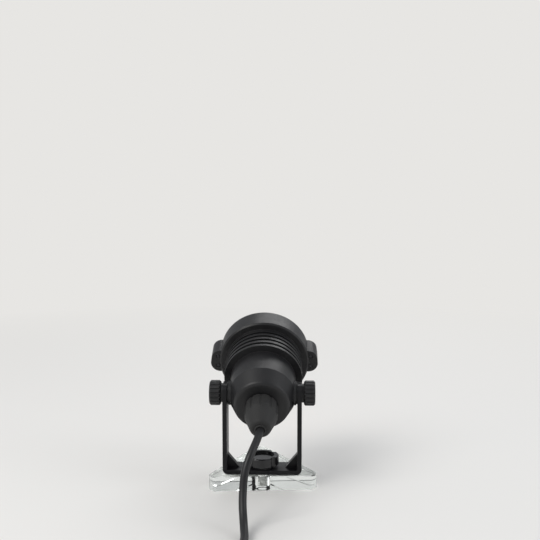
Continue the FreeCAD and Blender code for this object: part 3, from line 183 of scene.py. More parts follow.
def spline_through(name, points, steps):
    """Points, in metres, on one open NURBS spline with these control points."""
    curve = bpy.data.curves.new(name, "CURVE")
    curve.dimensions = "3D"
    curve.resolution_u = steps
    spline = curve.splines.new("NURBS")
    spline.points.add(len(points) - 1)
    for knot, point in zip(spline.points, points):
        knot.co = (*(Vector(point) * MM), 1.0)
    spline.order_u = 3
    spline.use_endpoint_u = True
    holder = bpy.data.objects.new(name, curve)
    line = bpy.data.meshes.new_from_object(holder)
    found = [vertex.co.copy() for vertex in line.vertices]
    bpy.data.objects.remove(holder)
    bpy.data.curves.remove(curve)
    bpy.data.meshes.remove(line)
    return found


route = [GLAND_EXIT, *CABLE_DROP, *coil_points(), *CABLE_TAIL, PLUG_PLACE]
cable_line = spline_through("cable_route", route, STEPS_PER_POINT)
cable_run = sum((b - a).length for a, b in zip(cable_line, cable_line[1:]))
print("cable:", len(route), "points,", round(cable_run, 4), "m long")

# %% [markdown]
# ### The jacket
# The jacket is a round tube, pressed round the wires as they run through a die. A curve's own bevel
# could draw it, but here a ring of points is swept along the line, which makes the jacket a mesh.
# Each ring is turned from the one before by the least turn that squares it to the line, so
# the jacket doesn't twist, and a flat face closes each end.

# %% Sweep the jacket
CABLE_SIDES = 20


def tube_along(name, line, radius, sides):
    points, faces = [], []
    ahead = (line[1] - line[0]).normalized()
    across = ahead.orthogonal().normalized()
    for index, centre in enumerate(line):
        before, after = line[max(index - 1, 0)], line[min(index + 1, len(line) - 1)]
        heading = (after - before).normalized()
        across = (ahead.rotation_difference(heading) @ across).normalized()
        across = (across - heading * across.dot(heading)).normalized()
        side = heading.cross(across)
        ahead = heading
        for step in range(sides):
            turn = math.tau * step / sides
            points.append(centre + (across * math.cos(turn) + side * math.sin(turn)) * radius)
    for ring in range(len(line) - 1):
        for step in range(sides):
            a, b = ring * sides + step, ring * sides + (step + 1) % sides
            faces.append((a, b, b + sides, a + sides))
    faces.append(tuple(reversed(range(sides))))
    faces.append(tuple(range((len(line) - 1) * sides, len(line) * sides)))
    return mesh_piece(name, points, faces)


cable = tube_along("power_cable", cable_line, CABLE_RADIUS, CABLE_SIDES)
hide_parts("power_cord", "cord_coil", "cord_tail")
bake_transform(cable)
print("cable mesh:", len(cable.data.polygons), "faces")

# %% [markdown]
# ## Finishes
# A finish is more than a colour. Black coatings differ mainly in how they scatter light, so each
# material below sets its roughness from a fine noise and gives the surface the small relief of
# its process: the orange peel of baked powder, the spark-eroded texture of a mould, the fine
# grooves of a lathe. The helpers build the nodes that all of them share.

# %% Material helpers
PER_MM = 1000  # from one in a millimetre to one in a metre
NO_STRETCH = (1.0, 1.0, 1.0)
NOISE_LOW, NOISE_HIGH = 0.3, 0.7  # most of a noise lies between these


def new_material(name):
    material = bpy.data.materials.new(name)
    material.use_nodes = True
    nodes = material.node_tree.nodes
    return material, nodes, material.node_tree.links, nodes["Principled BSDF"]


def noise(nodes, links, grains, detail, stretch=NO_STRETCH):
    """Noise fixed to the object, with this many grains in a millimetre. A stretch over 1 along an
    axis squeezes the grains along it, and one under 1 draws them out."""
    place = nodes.new("ShaderNodeTexCoord")
    fit = nodes.new("ShaderNodeMapping")
    fit.inputs["Scale"].default_value = stretch
    grain = nodes.new("ShaderNodeTexNoise")
    grain.inputs["Scale"].default_value = grains * PER_MM
    grain.inputs["Detail"].default_value = detail
    links.new(place.outputs["Object"], fit.inputs["Vector"])
    links.new(fit.outputs["Vector"], grain.inputs["Vector"])
    return grain.outputs["Fac"]


def between(nodes, links, value, low, high, start=NOISE_LOW, end=NOISE_HIGH):
    """Maps start to end onto low to high. A value outside them gives low or high."""
    fit = nodes.new("ShaderNodeMapRange")
    for name, number in (("From Min", start), ("From Max", end), ("To Min", low), ("To Max", high)):
        fit.inputs[name].default_value = number
    links.new(value, fit.inputs["Value"])
    return fit.outputs["Result"]


def mix_colours(nodes, links, share, first, second):
    """A mix of two colours, each of them a fixed colour or the colour that a node puts out."""
    mix = nodes.new("ShaderNodeMix")
    mix.data_type = "RGBA"
    for socket, colour in (("A", first), ("B", second)):
        if isinstance(colour, tuple):
            mix.inputs[socket].default_value = (*colour, 1.0)
        else:
            links.new(colour, mix.inputs[socket])
    links.new(share, mix.inputs["Factor"])
    return mix.outputs["Result"]


def multiply(nodes, links, first, second):
    product = nodes.new("ShaderNodeMath")
    product.operation = "MULTIPLY"
    links.new(first, product.inputs[0])
    links.new(second, product.inputs[1])
    return product.outputs["Value"]


print("material helpers ready")

# %% [markdown]
# ### Relief and edges
# The finest relief is too small to model, so a bump node tilts the light on it. An edge's rounding
# is small too, and a bevel node gives the surface the normal that a rounded edge would have. Where
# that normal leaves the true one there is an edge, and edges are where a coating wears first.

# %% Relief, rounded edges and wear
EDGE_SAMPLES = 6
WEAR_STARTS, WEAR_IS_FULL = 0.02, 0.25  # how far the rounded normal leaves the true one


def relief(nodes, links, value, depth, strength, normal):
    """Small relief, its depth in millimetres, on top of another normal."""
    bump = nodes.new("ShaderNodeBump")
    bump.inputs["Distance"].default_value = depth * MM
    bump.inputs["Strength"].default_value = strength
    links.new(value, bump.inputs["Height"])
    links.new(normal, bump.inputs["Normal"])
    return bump.outputs["Normal"]


def rounded(nodes, radius):
    """The normal of the surface with its edges rounded off by this many millimetres."""
    edge = nodes.new("ShaderNodeBevel")
    edge.samples = EDGE_SAMPLES
    edge.inputs["Radius"].default_value = radius * MM
    return edge.outputs["Normal"]


def worn_edges(nodes, links, radius):
    """How near an edge is, from 0 far away to 1 at the edge."""
    edge = rounded(nodes, radius)
    true = nodes.new("ShaderNodeNewGeometry")
    cosine = nodes.new("ShaderNodeVectorMath")
    cosine.operation = "DOT_PRODUCT"
    links.new(edge, cosine.inputs[0])
    links.new(true.outputs["Normal"], cosine.inputs[1])
    return between(nodes, links, cosine.outputs["Value"], low=1.0, high=0.0,
                   start=1 - WEAR_IS_FULL, end=1 - WEAR_STARTS)


print("relief and wear ready")

# %% [markdown]
# ### The base's clear acrylic
# The base is cut by a laser from cast sheet and flame polished. Light enters it everywhere, so it is
# a true refracting solid with the refractive index of acrylic, not a see-through grey. Its faces are
# optically flat, with a few wipe marks that only take a little of the gloss, and its colour takes
# a little of the light. A solid like this would throw a black shadow, since no light path finds its
# way through two refractions, so for shadows only it passes most of the light straight on.

# %% Clear acrylic
ACRYLIC_COLOUR = (0.89, 0.925, 0.92)
ACRYLIC_INDEX = 1.491
ACRYLIC_PASSES = 0.86  # share of the light in its shadow
WIPE_GRAINS, ALONG_WIPES = 0.5, (1.0, 0.1, 1.0)


def lets_light_through(nodes, links, shader, share):
    """Joins a refracting shader to the output, and a plain see-through one in its place for shadows."""
    path = nodes.new("ShaderNodeLightPath")
    pane = nodes.new("ShaderNodeBsdfTransparent")
    pane.inputs["Color"].default_value = (share, share, share, 1.0)
    choice = nodes.new("ShaderNodeMixShader")
    links.new(path.outputs["Is Shadow Ray"], choice.inputs[0])
    links.new(shader.outputs[0], choice.inputs[1])
    links.new(pane.outputs[0], choice.inputs[2])
    links.new(choice.outputs[0], nodes["Material Output"].inputs["Surface"])


def clear_acrylic():
    material, nodes, links, shader = new_material("polished_acrylic")
    shader.inputs["Base Color"].default_value = (*ACRYLIC_COLOUR, 1.0)
    shader.inputs["Transmission Weight"].default_value = 1.0
    shader.inputs["IOR"].default_value = ACRYLIC_INDEX
    wipes = noise(nodes, links, WIPE_GRAINS, detail=5.0, stretch=ALONG_WIPES)
    dulled = between(nodes, links, wipes, low=0.0, high=0.03, start=0.5, end=0.75)
    links.new(dulled, shader.inputs["Roughness"])
    lets_light_through(nodes, links, shader, ACRYLIC_PASSES)
    return material


print("acrylic: refractive index", ACRYLIC_INDEX)

# %% [markdown]
# ### Coated, moulded and rubber surfaces
# Everything black on this lamp is black in its own way. The bracket is baked enamel of a low
# gloss, whose surface flows out almost flat. The casting is powder coated: a satin skin with a fine
# orange peel. The knobs are moulded, and carry the fine spark-eroded grain of the mould. The
# cable's jacket is smooth and soft, and the gland is dull rubber. Each could have nodes of its own,
# but they are all built up alike, so one helper makes them all. Its grain gives the small relief, a
# slow cloud varies the gloss as handling does, and edges that fingers and cloths reach are rubbed a
# little paler. A share of the cloud also lies on the surface as the finest dust.

# %% Black coatings
DUST = (0.16, 0.155, 0.15)
CLOUD_GRAINS, SPECK_GRAINS = 0.07, 1.3
WEAR_REACH = 1.6  # the rubbed band is this much wider than the edge's rounding
RUBBED_TIMES, RUBBED_MORE = 2.2, 0.012  # how much paler a rubbed colour is
GLOSSIEST, DULLEST = -0.05, 0.09  # from the mean roughness
GRAIN_STRENGTH = 0.7


def coated(name, colour, rough, grains, depth, edge, wear, dust=0.03, sheen=0.0, gloss=0.4):
    """grains is how many there are in a millimetre, and depth and edge are in millimetres. wear and
    dust are the most of each that the surface shows, and gloss is the strength of its reflection."""
    material, nodes, links, shader = new_material(name)
    shader.inputs["Specular IOR Level"].default_value = gloss
    grain = noise(nodes, links, grains, detail=2.5)
    cloud = noise(nodes, links, CLOUD_GRAINS, detail=5.0)
    specks = noise(nodes, links, SPECK_GRAINS, detail=6.0)
    worn = worn_edges(nodes, links, edge * WEAR_REACH)
    patches = between(nodes, links, specks, low=0.0, high=wear, start=0.35, end=0.65)
    paler = tuple(c * RUBBED_TIMES + RUBBED_MORE for c in colour)
    bare = mix_colours(nodes, links, multiply(nodes, links, worn, patches), colour, paler)
    haze = between(nodes, links, cloud, low=0.0, high=dust, start=0.4)
    crumbs = between(nodes, links, specks, low=0.4, high=1.0, start=0.35)
    dusty = mix_colours(nodes, links, multiply(nodes, links, haze, crumbs), bare, DUST)
    links.new(dusty, shader.inputs["Base Color"])
    handled = between(nodes, links, cloud, rough + GLOSSIEST, rough + DULLEST)
    links.new(handled, shader.inputs["Roughness"])
    shader.inputs["Sheen Weight"].default_value = sheen
    skin = relief(nodes, links, grain, depth, GRAIN_STRENGTH, rounded(nodes, edge))
    links.new(skin, shader.inputs["Normal"])
    return material


print("coatings ready")

# %% [markdown]
# ### Bare metal
# Bare metal has almost no colour of its own and shows its making in the direction of its finest
# grooves: round a turned screw, along a rolled strip. An anisotropic shader stretches the
# highlights that way too, but it can't vary the tint. So the grain noise is stretched along that
# direction, and the tint, the gloss and the relief all follow it.

# %% Bare metals
METAL_GRAINS, STAIN_GRAINS = 3.0, 0.25
GROOVE_DEPTH, GROOVE_STRENGTH = 0.012, 0.5
DARK_GROOVE = 0.8
STAIN = (0.96, 0.9, 0.82)
SMOOTHEST, ROUGHEST = -0.06, 0.1  # from the mean roughness
TURNED, ALONG_X = (1.0, 1.0, 6.0), (0.2, 1.0, 1.0)


def metal(name, colour, rough, edge=0.15, stretch=NO_STRETCH):
    """edge is the rounding of its edges in millimetres."""
    material, nodes, links, shader = new_material(name)
    grain = noise(nodes, links, METAL_GRAINS, detail=3.0, stretch=stretch)
    stain = noise(nodes, links, STAIN_GRAINS, detail=4.0)
    shader.inputs["Metallic"].default_value = 1.0
    darker = tuple(c * DARK_GROOVE for c in colour)
    warmer = tuple(c * t for c, t in zip(colour, STAIN))
    stained = between(nodes, links, stain, low=0.0, high=0.5, start=0.5, end=0.8)
    tinted = mix_colours(nodes, links, stained, colour, warmer)
    links.new(mix_colours(nodes, links, grain, darker, tinted), shader.inputs["Base Color"])
    grooved = between(nodes, links, grain, rough + SMOOTHEST, rough + ROUGHEST)
    links.new(grooved, shader.inputs["Roughness"])
    skin = relief(nodes, links, grain, GROOVE_DEPTH, GROOVE_STRENGTH, rounded(nodes, edge))
    links.new(skin, shader.inputs["Normal"])
    return material


print("metals ready")

# %% [markdown]
# ### Glass and the sunset filter
# The lens is pressed optical glass, heavier and clearer than the acrylic. Right behind it lies the
# piece that makes the sunset: a disc coated in rings of colour, yellow in the middle, then orange,
# red and at last a dark plum. The light source shines through it, so the disc also glows softly
# in its own colours. A picture could hold the rings, but a colour ramp needs no file and stays
# clean from any distance. The colour depends only on how far a point is from the head's axis,
# which the material works out from the piece's own coordinates turned back by the head's angle.

# %% Lens and filter
HEAD_PIVOT = (0.0, 0.0, 0.0651)
HEAD_LOOKS_UP = math.radians(20)
GLASS_COLOUR = (0.99, 1.0, 0.995)
GLASS_INDEX = 1.52
GLASS_PASSES = 0.9  # share of the light in its shadow
GLASS_EDGE = 0.3
SMEAR_GRAINS, STREAK_GRAINS = 0.05, 0.4
FILM_SMOOTH, FILM_ROUGH = 0.12, 0.22
FILTER_RADIUS = 25.0 * MM
SUNSET = (
    (0.0, (1.0, 0.78, 0.28)), (0.3, (1.0, 0.55, 0.1)), (0.58, (1.0, 0.27, 0.03)),
    (0.78, (0.8, 0.07, 0.03)), (0.92, (0.25, 0.02, 0.08)), (1.0, (0.06, 0.01, 0.05)),
)  # shares of the filter's radius, with their colours
# The filter's emission is a painted glow. It stands in for the light of the source behind it, which is
# not a lamp in this scene.
PAINTED_GLOW = 1.1


def lens_glass():
    material, nodes, links, shader = new_material("optical_glass")
    shader.inputs["Base Color"].default_value = (*GLASS_COLOUR, 1.0)
    shader.inputs["Transmission Weight"].default_value = 1.0
    shader.inputs["IOR"].default_value = GLASS_INDEX
    smear = noise(nodes, links, SMEAR_GRAINS, detail=3.0)
    links.new(between(nodes, links, smear, low=0.0, high=0.03), shader.inputs["Roughness"])
    links.new(rounded(nodes, GLASS_EDGE), shader.inputs["Normal"])
    lets_light_through(nodes, links, shader, GLASS_PASSES)
    return material


def from_head_axis(nodes, links):
    """The distance of a point from the head's axis, in metres."""
    place = nodes.new("ShaderNodeTexCoord")
    level = nodes.new("ShaderNodeMapping")
    level.vector_type = "TEXTURE"
    level.inputs["Location"].default_value = HEAD_PIVOT
    level.inputs["Rotation"].default_value = (HEAD_LOOKS_UP, 0.0, 0.0)
    flat = nodes.new("ShaderNodeVectorMath")
    flat.operation = "MULTIPLY"
    flat.inputs[1].default_value = (1.0, 0.0, 1.0)  # takes away the part along the axis
    reach = nodes.new("ShaderNodeVectorMath")
    reach.operation = "LENGTH"
    links.new(place.outputs["Object"], level.inputs["Vector"])
    links.new(level.outputs["Vector"], flat.inputs[0])
    links.new(flat.outputs["Vector"], reach.inputs[0])
    return reach.outputs["Value"]


def sunset_filter():
    material, nodes, links, shader = new_material("sunset_film")
    ramp = nodes.new("ShaderNodeValToRGB")
    stops = ramp.color_ramp.elements
    for place, colour in SUNSET[1:-1]:
        stops.new(place).color = (*colour, 1.0)
    stops[0].color = (*SUNSET[0][1], 1.0)
    stops[-1].color = (*SUNSET[-1][1], 1.0)
    share = between(nodes, links, from_head_axis(nodes, links), low=0.0, high=1.0,
                    start=0.0, end=FILTER_RADIUS)
    streaks = noise(nodes, links, STREAK_GRAINS, detail=3.0)
    links.new(share, ramp.inputs["Fac"])
    links.new(ramp.outputs["Color"], shader.inputs["Base Color"])
    # The ramp's colours also go to the emission, as the disc's painted glow.
    links.new(ramp.outputs["Color"], shader.inputs["Emission Color"])
    shader.inputs["Emission Strength"].default_value = PAINTED_GLOW
    links.new(between(nodes, links, streaks, FILM_SMOOTH, FILM_ROUGH), shader.inputs["Roughness"])
    return material


print("glass: refractive index", GLASS_INDEX, "and a filter of", len(SUNSET), "colours")

# %% [markdown]
# ### One finish for each slot
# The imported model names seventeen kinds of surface. This table gives each of them its material, so
# the finishes can be compared at a glance. What differs between two blacks is how rough they are,
# how fine and deep their grain is, and how wide their edges are rounded.

# %% All finishes
BOARD = {"grains": 2.0, "depth": 0.01, "edge": 0.05, "wear": 0.1}  # lacquer, on both boards

FINISHES = {
    "clear_acrylic": clear_acrylic(),
    "black_strip": coated(
        "stove_enamel", (0.007, 0.007, 0.008), rough=0.38, grains=0.6, depth=0.02, edge=0.3,
        wear=0.3, dust=0.02, gloss=0.25),
    "black_casting": coated(
        "powder_coat", (0.011, 0.011, 0.012), rough=0.42, grains=1.8, depth=0.05, edge=0.35,
        wear=0.45, dust=0.04),
    "black_plastic": coated(
        "moulded_black", (0.012, 0.012, 0.013), rough=0.42, grains=4.0, depth=0.03, edge=0.25,
        wear=0.5, dust=0.04),
    "black_rubber": coated(
        "soft_rubber", (0.013, 0.013, 0.013), rough=0.6, grains=5.0, depth=0.03, edge=0.3,
        wear=0.3, dust=0.06, sheen=0.05),
    "black_cable": coated(
        "cable_jacket", (0.010, 0.010, 0.011), rough=0.42, grains=2.4, depth=0.015, edge=0.1,
        wear=0.2, dust=0.05),
    "bright_steel": metal("bright_steel", (0.62, 0.61, 0.6), rough=0.26, edge=0.12, stretch=TURNED),
    "dark_steel": metal("blackened_steel", (0.06, 0.06, 0.065), rough=0.34, edge=0.12),
    "plug_metal": metal("nickel_plate", (0.66, 0.65, 0.62), rough=0.2, edge=0.35, stretch=ALONG_X),
    "plain_aluminium": metal("machined_aluminium", (0.72, 0.72, 0.73), rough=0.3),
    "bright_reflector": metal("bright_reflector", (0.85, 0.85, 0.86), rough=0.12),
    "lens_glass": lens_glass(),
    "sunset_filter": sunset_filter(),
    "white_board": coated("white_board", (0.78, 0.78, 0.76), rough=0.45, **BOARD),
    "green_board": coated("green_board", (0.03, 0.2, 0.08), rough=0.35, **BOARD),
    "phosphor": coated(
        "phosphor", (0.9, 0.75, 0.1), rough=0.6, grains=3.0, depth=0.02, edge=0.05, wear=0.1),
    "wire_red": coated(
        "red_wire", (0.5, 0.03, 0.03), rough=0.4, grains=3.0, depth=0.01, edge=0.05, wear=0.1),
}
print("finishes:", len(FINISHES))

# %% [markdown]
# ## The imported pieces
# The housing, the bracket, the knobs and the base could be modelled again here, but they already
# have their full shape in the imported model, with every groove and fillet. So they only get their
# finish. The record says which slot each of them has.

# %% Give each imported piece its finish
slot_of = {part["node"]: part["material_slot"] for part in frame["record"]["subparts"]}
for name, node in NODES.items():
    node.data.materials.clear()
    node.data.materials.append(FINISHES[slot_of[name]])
cable.data.materials.append(FINISHES["black_cable"])
print("packed pieces finished:", len(slot_of))

# %% [markdown]
# The clamp knob is of the same plastic as the tilt knobs, but from a polished mould: in the
# photograph the floor of its dish shines like a mirror. The shared finish can't be both, so this
# knob gets a glossier one of its own, almost without grain.

# %% The polished clamp knob
polished = coated(
    "polished_black", (0.010, 0.010, 0.011), rough=0.13, grains=1.0, depth=0.004, edge=0.25,
    wear=0.3, dust=0.02, gloss=0.5)
NODES["clamp_knob"].data.materials[0] = polished
print("clamp knob polished")

# %% [markdown]
# ## Turned pieces
# Screws, sleeves and lenses are turned, so they are made the way a lathe works: a few rings of
# points at given stations along an axis, joined by faces. Blender's screw modifier could spin an
# outline too, but only into a round thing. A ring made here may be other than round, which gives a
# hexagon socket or a knurl with the same code. The points are placed in the frame of the head or
# of the base, in millimetres, and moved to their place by that frame's matrix.

# %% Rings and the skin over them
HEAD = Matrix.Translation(HEAD_PIVOT) @ Matrix.Rotation(HEAD_LOOKS_UP, 4, "X")
ALONG_Y = Matrix.Rotation(-math.pi / 2, 4, "X")  # takes a piece turned about Z to +Y


def round_ring(station, radius, sides, lead=0.0):
    """The lead turns the ring, counted in its own points."""
    turns = [math.tau * (i + lead) / sides for i in range(sides)]
    return [Vector((radius * math.cos(t), radius * math.sin(t), station)) for t in turns]


def toothed_ring(station, crest, root, sides, lead=0.0):
    """The ring's points stand at the root and at the crest of a tooth in turn."""
    ring = round_ring(station, 1.0, sides, lead)
    for i, point in enumerate(ring):
        point.xy *= crest if i % 2 else root
    return ring


def hexagon_ring(station, width, sides):
    """The ring's points lie on a hexagon of this width across its flats."""
    flat = math.tau / 6  # the angle that one flat takes up
    ring = []
    for i in range(sides):
        turn = math.tau * i / sides
        off = (turn + flat / 2) % flat - flat / 2
        reach = width / 2 / math.cos(off)
        ring.append(Vector((reach * math.cos(turn), reach * math.sin(turn), station)))
    return ring


def joined_rings(rings, place, open_through=False):
    """Points and faces of a skin over rings of equal count, with end caps or through to a bore."""
    sides = len(rings[0])
    points = [place @ (point * MM) for ring in rings for point in ring]
    faces = []
    bands = len(rings) if open_through else len(rings) - 1
    for level in range(bands):
        low, high = level * sides, (level + 1) % len(rings) * sides
        for i in range(sides):
            j = (i + 1) % sides
            faces.append((low + i, low + j, high + j, high + i))
    if not open_through:
        faces.append(tuple(reversed(range(sides))))
        faces.append(tuple(range((len(rings) - 1) * sides, len(rings) * sides)))
    return points, faces


def several(name, parts, slot, body, sharp=SHARP):
    """One object from several sets of points and faces, finished and riding on a body."""
    points, faces = [], []
    for more_points, more_faces in parts:
        start = len(points)
        points += more_points
        faces += [tuple(start + i for i in face) for face in more_faces]
    piece = mesh_piece(name, points, faces, sharp)
    piece.data.materials.append(FINISHES[slot])
    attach(piece, body)
    print(name, "has", len(faces), "faces")
    return piece


print("turning helpers ready")

# %% [markdown]
# ### The four screws that hold the bezel
# Two sunk socket screws sit in each side lug. Such a screw has a knurled cylinder head with a
# hexagon socket, in which a key stands square. Its rings go from the foot of the shank up over the
# head and down into the socket. The thread lies inside the lug, where nobody sees it, so the shank
# is left smooth.

# %% Socket screws in the lugs
LUG_SCREW_OUT, LUG_SCREW_RISE = 34.0, 3.9
LUG_SCREW_FOOT, LUG_SCREW_SEAT, LUG_SCREW_TOP = 41.0, 53.5, 55.9
SCREW_SIDES = 48

# Each pair is a station along the screw, with the radius there.
SCREW_SHANK = ((LUG_SCREW_FOOT, 1.1), (LUG_SCREW_FOOT + 0.4, 1.48), (LUG_SCREW_SEAT, 1.48),
               (LUG_SCREW_SEAT, 2.6))
SCREW_TOP_EDGE = ((LUG_SCREW_TOP - 0.25, 2.5), (LUG_SCREW_TOP, 2.25))
SOCKET_TIP = (LUG_SCREW_TOP - 2.0, 0.2)
# Here each station has the socket's width across its flats.
SOCKET = ((LUG_SCREW_TOP, 2.9), (LUG_SCREW_TOP - 0.2, 2.55), (LUG_SCREW_TOP - 1.6, 2.5))
SCREW_KNURL = (LUG_SCREW_SEAT + 0.1, LUG_SCREW_TOP - 0.35)
KNURL_CREST, KNURL_DEPTH = 2.68, 0.13


def socket_screw(place):
    rings = [round_ring(*edge, SCREW_SIDES) for edge in SCREW_SHANK]
    for station in SCREW_KNURL:
        rings.append(toothed_ring(station, KNURL_CREST, KNURL_CREST - KNURL_DEPTH, SCREW_SIDES))
    rings += [round_ring(*edge, SCREW_SIDES) for edge in SCREW_TOP_EDGE]
    rings += [hexagon_ring(*edge, SCREW_SIDES) for edge in SOCKET]
    rings.append(round_ring(*SOCKET_TIP, SCREW_SIDES))
    return joined_rings(rings, place)


lug_places = [HEAD @ Matrix.Translation((x * MM, 0, z * MM)) @ ALONG_Y
              for x in (-LUG_SCREW_OUT, LUG_SCREW_OUT) for z in (-LUG_SCREW_RISE, LUG_SCREW_RISE)]
lug_screws = several("lug_socket_screws", [socket_screw(p) for p in lug_places], "dark_steel", "head")
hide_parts("lug_screws")

# %% [markdown]
# ### The threaded sleeve in the base
# The clamp's stud can't be screwed into acrylic itself, which would crack, so a steel sleeve is
# pressed in from above. Its outside is knurled so that it can't turn, in three bands whose teeth
# lean to the left and to the right in turn, with grooves between. A bump could suggest the teeth,
# but the sleeve shows through the clear base, where only real teeth glint as they should.

# %% Knurled sleeve
SLEEVE_FOOT, SLEEVE_TOP = 1.5, 10.0
SLEEVE_CREST, SLEEVE_ROOT, SLEEVE_BORE = 5.14, 4.86, 3.06
SLEEVE_GROOVE, SLEEVE_GROOVE_WIDTH, SLEEVE_PITCH = 4.65, 1.0, 2.4
SLEEVE_BEVEL = 0.3  # at the ends of the bore and of the knurl
SLEEVE_STEP = 0.1  # from the knurl's root to an end face, and a groove's slope
SLEEVE_SIDES = 96
KNURL_LEAN = 2.0  # points of the ring that a tooth leans over one band
SLEEVE_SHARP = math.radians(20)


def sleeve_ring(station, radius, lead=0.0):
    return round_ring(station, radius, SLEEVE_SIDES, lead)


def knurled_sleeve():
    middle = (SLEEVE_FOOT + SLEEVE_TOP) / 2
    edges = [middle + side * SLEEVE_PITCH / 2 + end * SLEEVE_GROOVE_WIDTH / 2
             for side in (-1, 1) for end in (-1, 1)]
    bands = [(SLEEVE_FOOT + SLEEVE_BEVEL, edges[0]), (edges[1], edges[2]),
             (edges[3], SLEEVE_TOP - SLEEVE_BEVEL)]
    rings = [sleeve_ring(SLEEVE_FOOT + SLEEVE_BEVEL, SLEEVE_BORE),
             sleeve_ring(SLEEVE_FOOT, SLEEVE_BORE + SLEEVE_BEVEL),
             sleeve_ring(SLEEVE_FOOT, SLEEVE_ROOT - SLEEVE_STEP)]
    for index, (low, high) in enumerate(bands):
        lean = KNURL_LEAN * (-1) ** index
        if index > 0:
            rings.append(sleeve_ring(low - SLEEVE_STEP, SLEEVE_GROOVE))
        for share in (0.0, 0.5, 1.0):
            station = low + (high - low) * share
            rings.append(toothed_ring(station, SLEEVE_CREST, SLEEVE_ROOT, SLEEVE_SIDES, lean * share))
        if index < len(bands) - 1:
            rings.append(sleeve_ring(high + SLEEVE_STEP, SLEEVE_GROOVE, lean))
    rings += [sleeve_ring(SLEEVE_TOP, SLEEVE_ROOT - SLEEVE_STEP),
              sleeve_ring(SLEEVE_TOP, SLEEVE_BORE + SLEEVE_BEVEL),
              sleeve_ring(SLEEVE_TOP - SLEEVE_BEVEL, SLEEVE_BORE)]
    return joined_rings(rings, Matrix(), open_through=True)


sleeve = several("knurled_sleeve", [knurled_sleeve()], "bright_steel", "base", SLEEVE_SHARP)
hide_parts("threaded_insert")

# %% [markdown]
# ### The sealing ring at the cable
# Inside the gland a rubber ring is squeezed round the cable, and a little of it bulges out at the
# end. It hides the edge of the bore, so the cable looks gripped and not pushed through a hole. It
# is turned like the screws, round a section that is half a circle.

# %% Sealing ring
RING_STATION, RING_OUT, RING_SUNK = -42.0, 0.7, 0.4
RING_INSIDE, RING_OUTSIDE = 2.5, 3.9
RING_STEPS = 10


def sealing_ring():
    """Half a doughnut that stands out of the gland's end face, with its foot sunk into it."""
    middle, half = (RING_INSIDE + RING_OUTSIDE) / 2, (RING_OUTSIDE - RING_INSIDE) / 2
    rings = []
    for step in range(RING_STEPS + 1):
        turn = math.pi * step / RING_STEPS
        station = RING_STATION - RING_OUT * math.sin(turn)
        rings.append(round_ring(station, middle + half * math.cos(turn), SCREW_SIDES))
    rings += [round_ring(RING_STATION + RING_SUNK, RING_INSIDE, SCREW_SIDES),
              round_ring(RING_STATION + RING_SUNK, RING_OUTSIDE, SCREW_SIDES)]
    return joined_rings(rings, HEAD @ ALONG_Y, open_through=True)


several("gland_sealing_ring", [sealing_ring()], "black_rubber", "head")

# %% [markdown]
# ### The lens
# The lens is a flat-backed dome with a straight rim that the bezel grips. Rounding off a disc
# would come near its shape, but a dome refracts cleanly only if it is part of a true sphere and its
# skin is smooth. So it is drawn from its true radius, in many rings.

# %% Domed lens
LENS_BACK, LENS_RIM_FRONT, LENS_APEX = 46.6, 50.0, 57.0
LENS_RADIUS, LENS_DOME_FOOT = 25.0, 22.6
LENS_EDGE = 0.4
LENS_SIDES, LENS_RINGS = 96, 20
BACK_CAP, APEX_CAP = 0.5, 0.05  # radii of the small flat faces that close it
LENS_SHARP = math.radians(40)


def domed_lens():
    height = LENS_APEX - LENS_RIM_FRONT
    sphere = (LENS_DOME_FOOT ** 2 + height ** 2) / (2 * height)
    spread = math.asin(LENS_DOME_FOOT / sphere)
    outline = [(LENS_BACK, BACK_CAP), (LENS_BACK, LENS_RADIUS - LENS_EDGE),
               (LENS_BACK + LENS_EDGE, LENS_RADIUS), (LENS_RIM_FRONT - LENS_EDGE, LENS_RADIUS),
               (LENS_RIM_FRONT, LENS_RADIUS - LENS_EDGE)]
    for step in range(LENS_RINGS):
        off = spread * (1 - step / LENS_RINGS)
        outline.append((LENS_APEX - sphere * (1 - math.cos(off)), sphere * math.sin(off)))
    outline.append((LENS_APEX, APEX_CAP))
    return joined_rings([round_ring(*edge, LENS_SIDES) for edge in outline], HEAD @ ALONG_Y)


lens = several("domed_lens", [domed_lens()], "lens_glass", "head", LENS_SHARP)
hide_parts("crystal_lens")

# %% [markdown]
# ### The contacts in the plug
# Four gold-plated springs lie on the plug's plastic tongue, the two outer ones longer, because the
# power has to connect before the signals. Each is a thin strip whose front end dips into the
# plastic, so that it can't be peeled off. It is drawn from a few cross sections along its length.

# %% Gold contacts
PLUG_TURN = math.radians(-2.0)
PLUG = Matrix.Translation(Vector(PLUG_PLACE) * MM) @ Matrix.Rotation(PLUG_TURN, 4, "Z")
CONTACT_FRONT, CONTACT_FACE = 41.6, -0.02
CONTACT_PLACES = ((-3.5, 7.4), (-1.0, 6.4), (1.0, 6.4), (3.5, 7.4))  # across the plug, and length
CONTACT_HALF, CONTACT_THICK = 0.5, 0.16
CONTACT_DIP, CONTACT_NOSE, CONTACT_TAIL = 0.1, 0.5, 0.4
TAIL_SHARE = 0.4  # of the strip's thickness, at its rear end
# The section's corners: how far across in half widths, and whether they stand below the tongue.
CONTACT_SECTION = ((-1, 0.0), (-0.8, 1.0), (0.8, 1.0), (1, 0.0))


def contact(across, length):
    """A strip under the tongue, in sections that stand below the plastic by different heights."""
    stations = [(0.0, -CONTACT_DIP), (CONTACT_NOSE, CONTACT_THICK),
                (length - CONTACT_TAIL, CONTACT_THICK), (length, CONTACT_THICK * TAIL_SHARE)]
    corners = len(CONTACT_SECTION)
    points, faces = [], []
    for back, below in stations:
        for side, stands in CONTACT_SECTION:
            low = CONTACT_FACE - below * stands
            points.append(PLUG @ (Vector((CONTACT_FRONT - back, across + side * CONTACT_HALF, low)) * MM))
    for row in range(len(stations) - 1):
        for i in range(corners):
            a, b = row * corners + i, row * corners + (i + 1) % corners
            faces.append((a, b, b + corners, a + corners))
    faces += [tuple(reversed(range(corners))), tuple(range(len(points) - corners, len(points)))]
    return points, faces


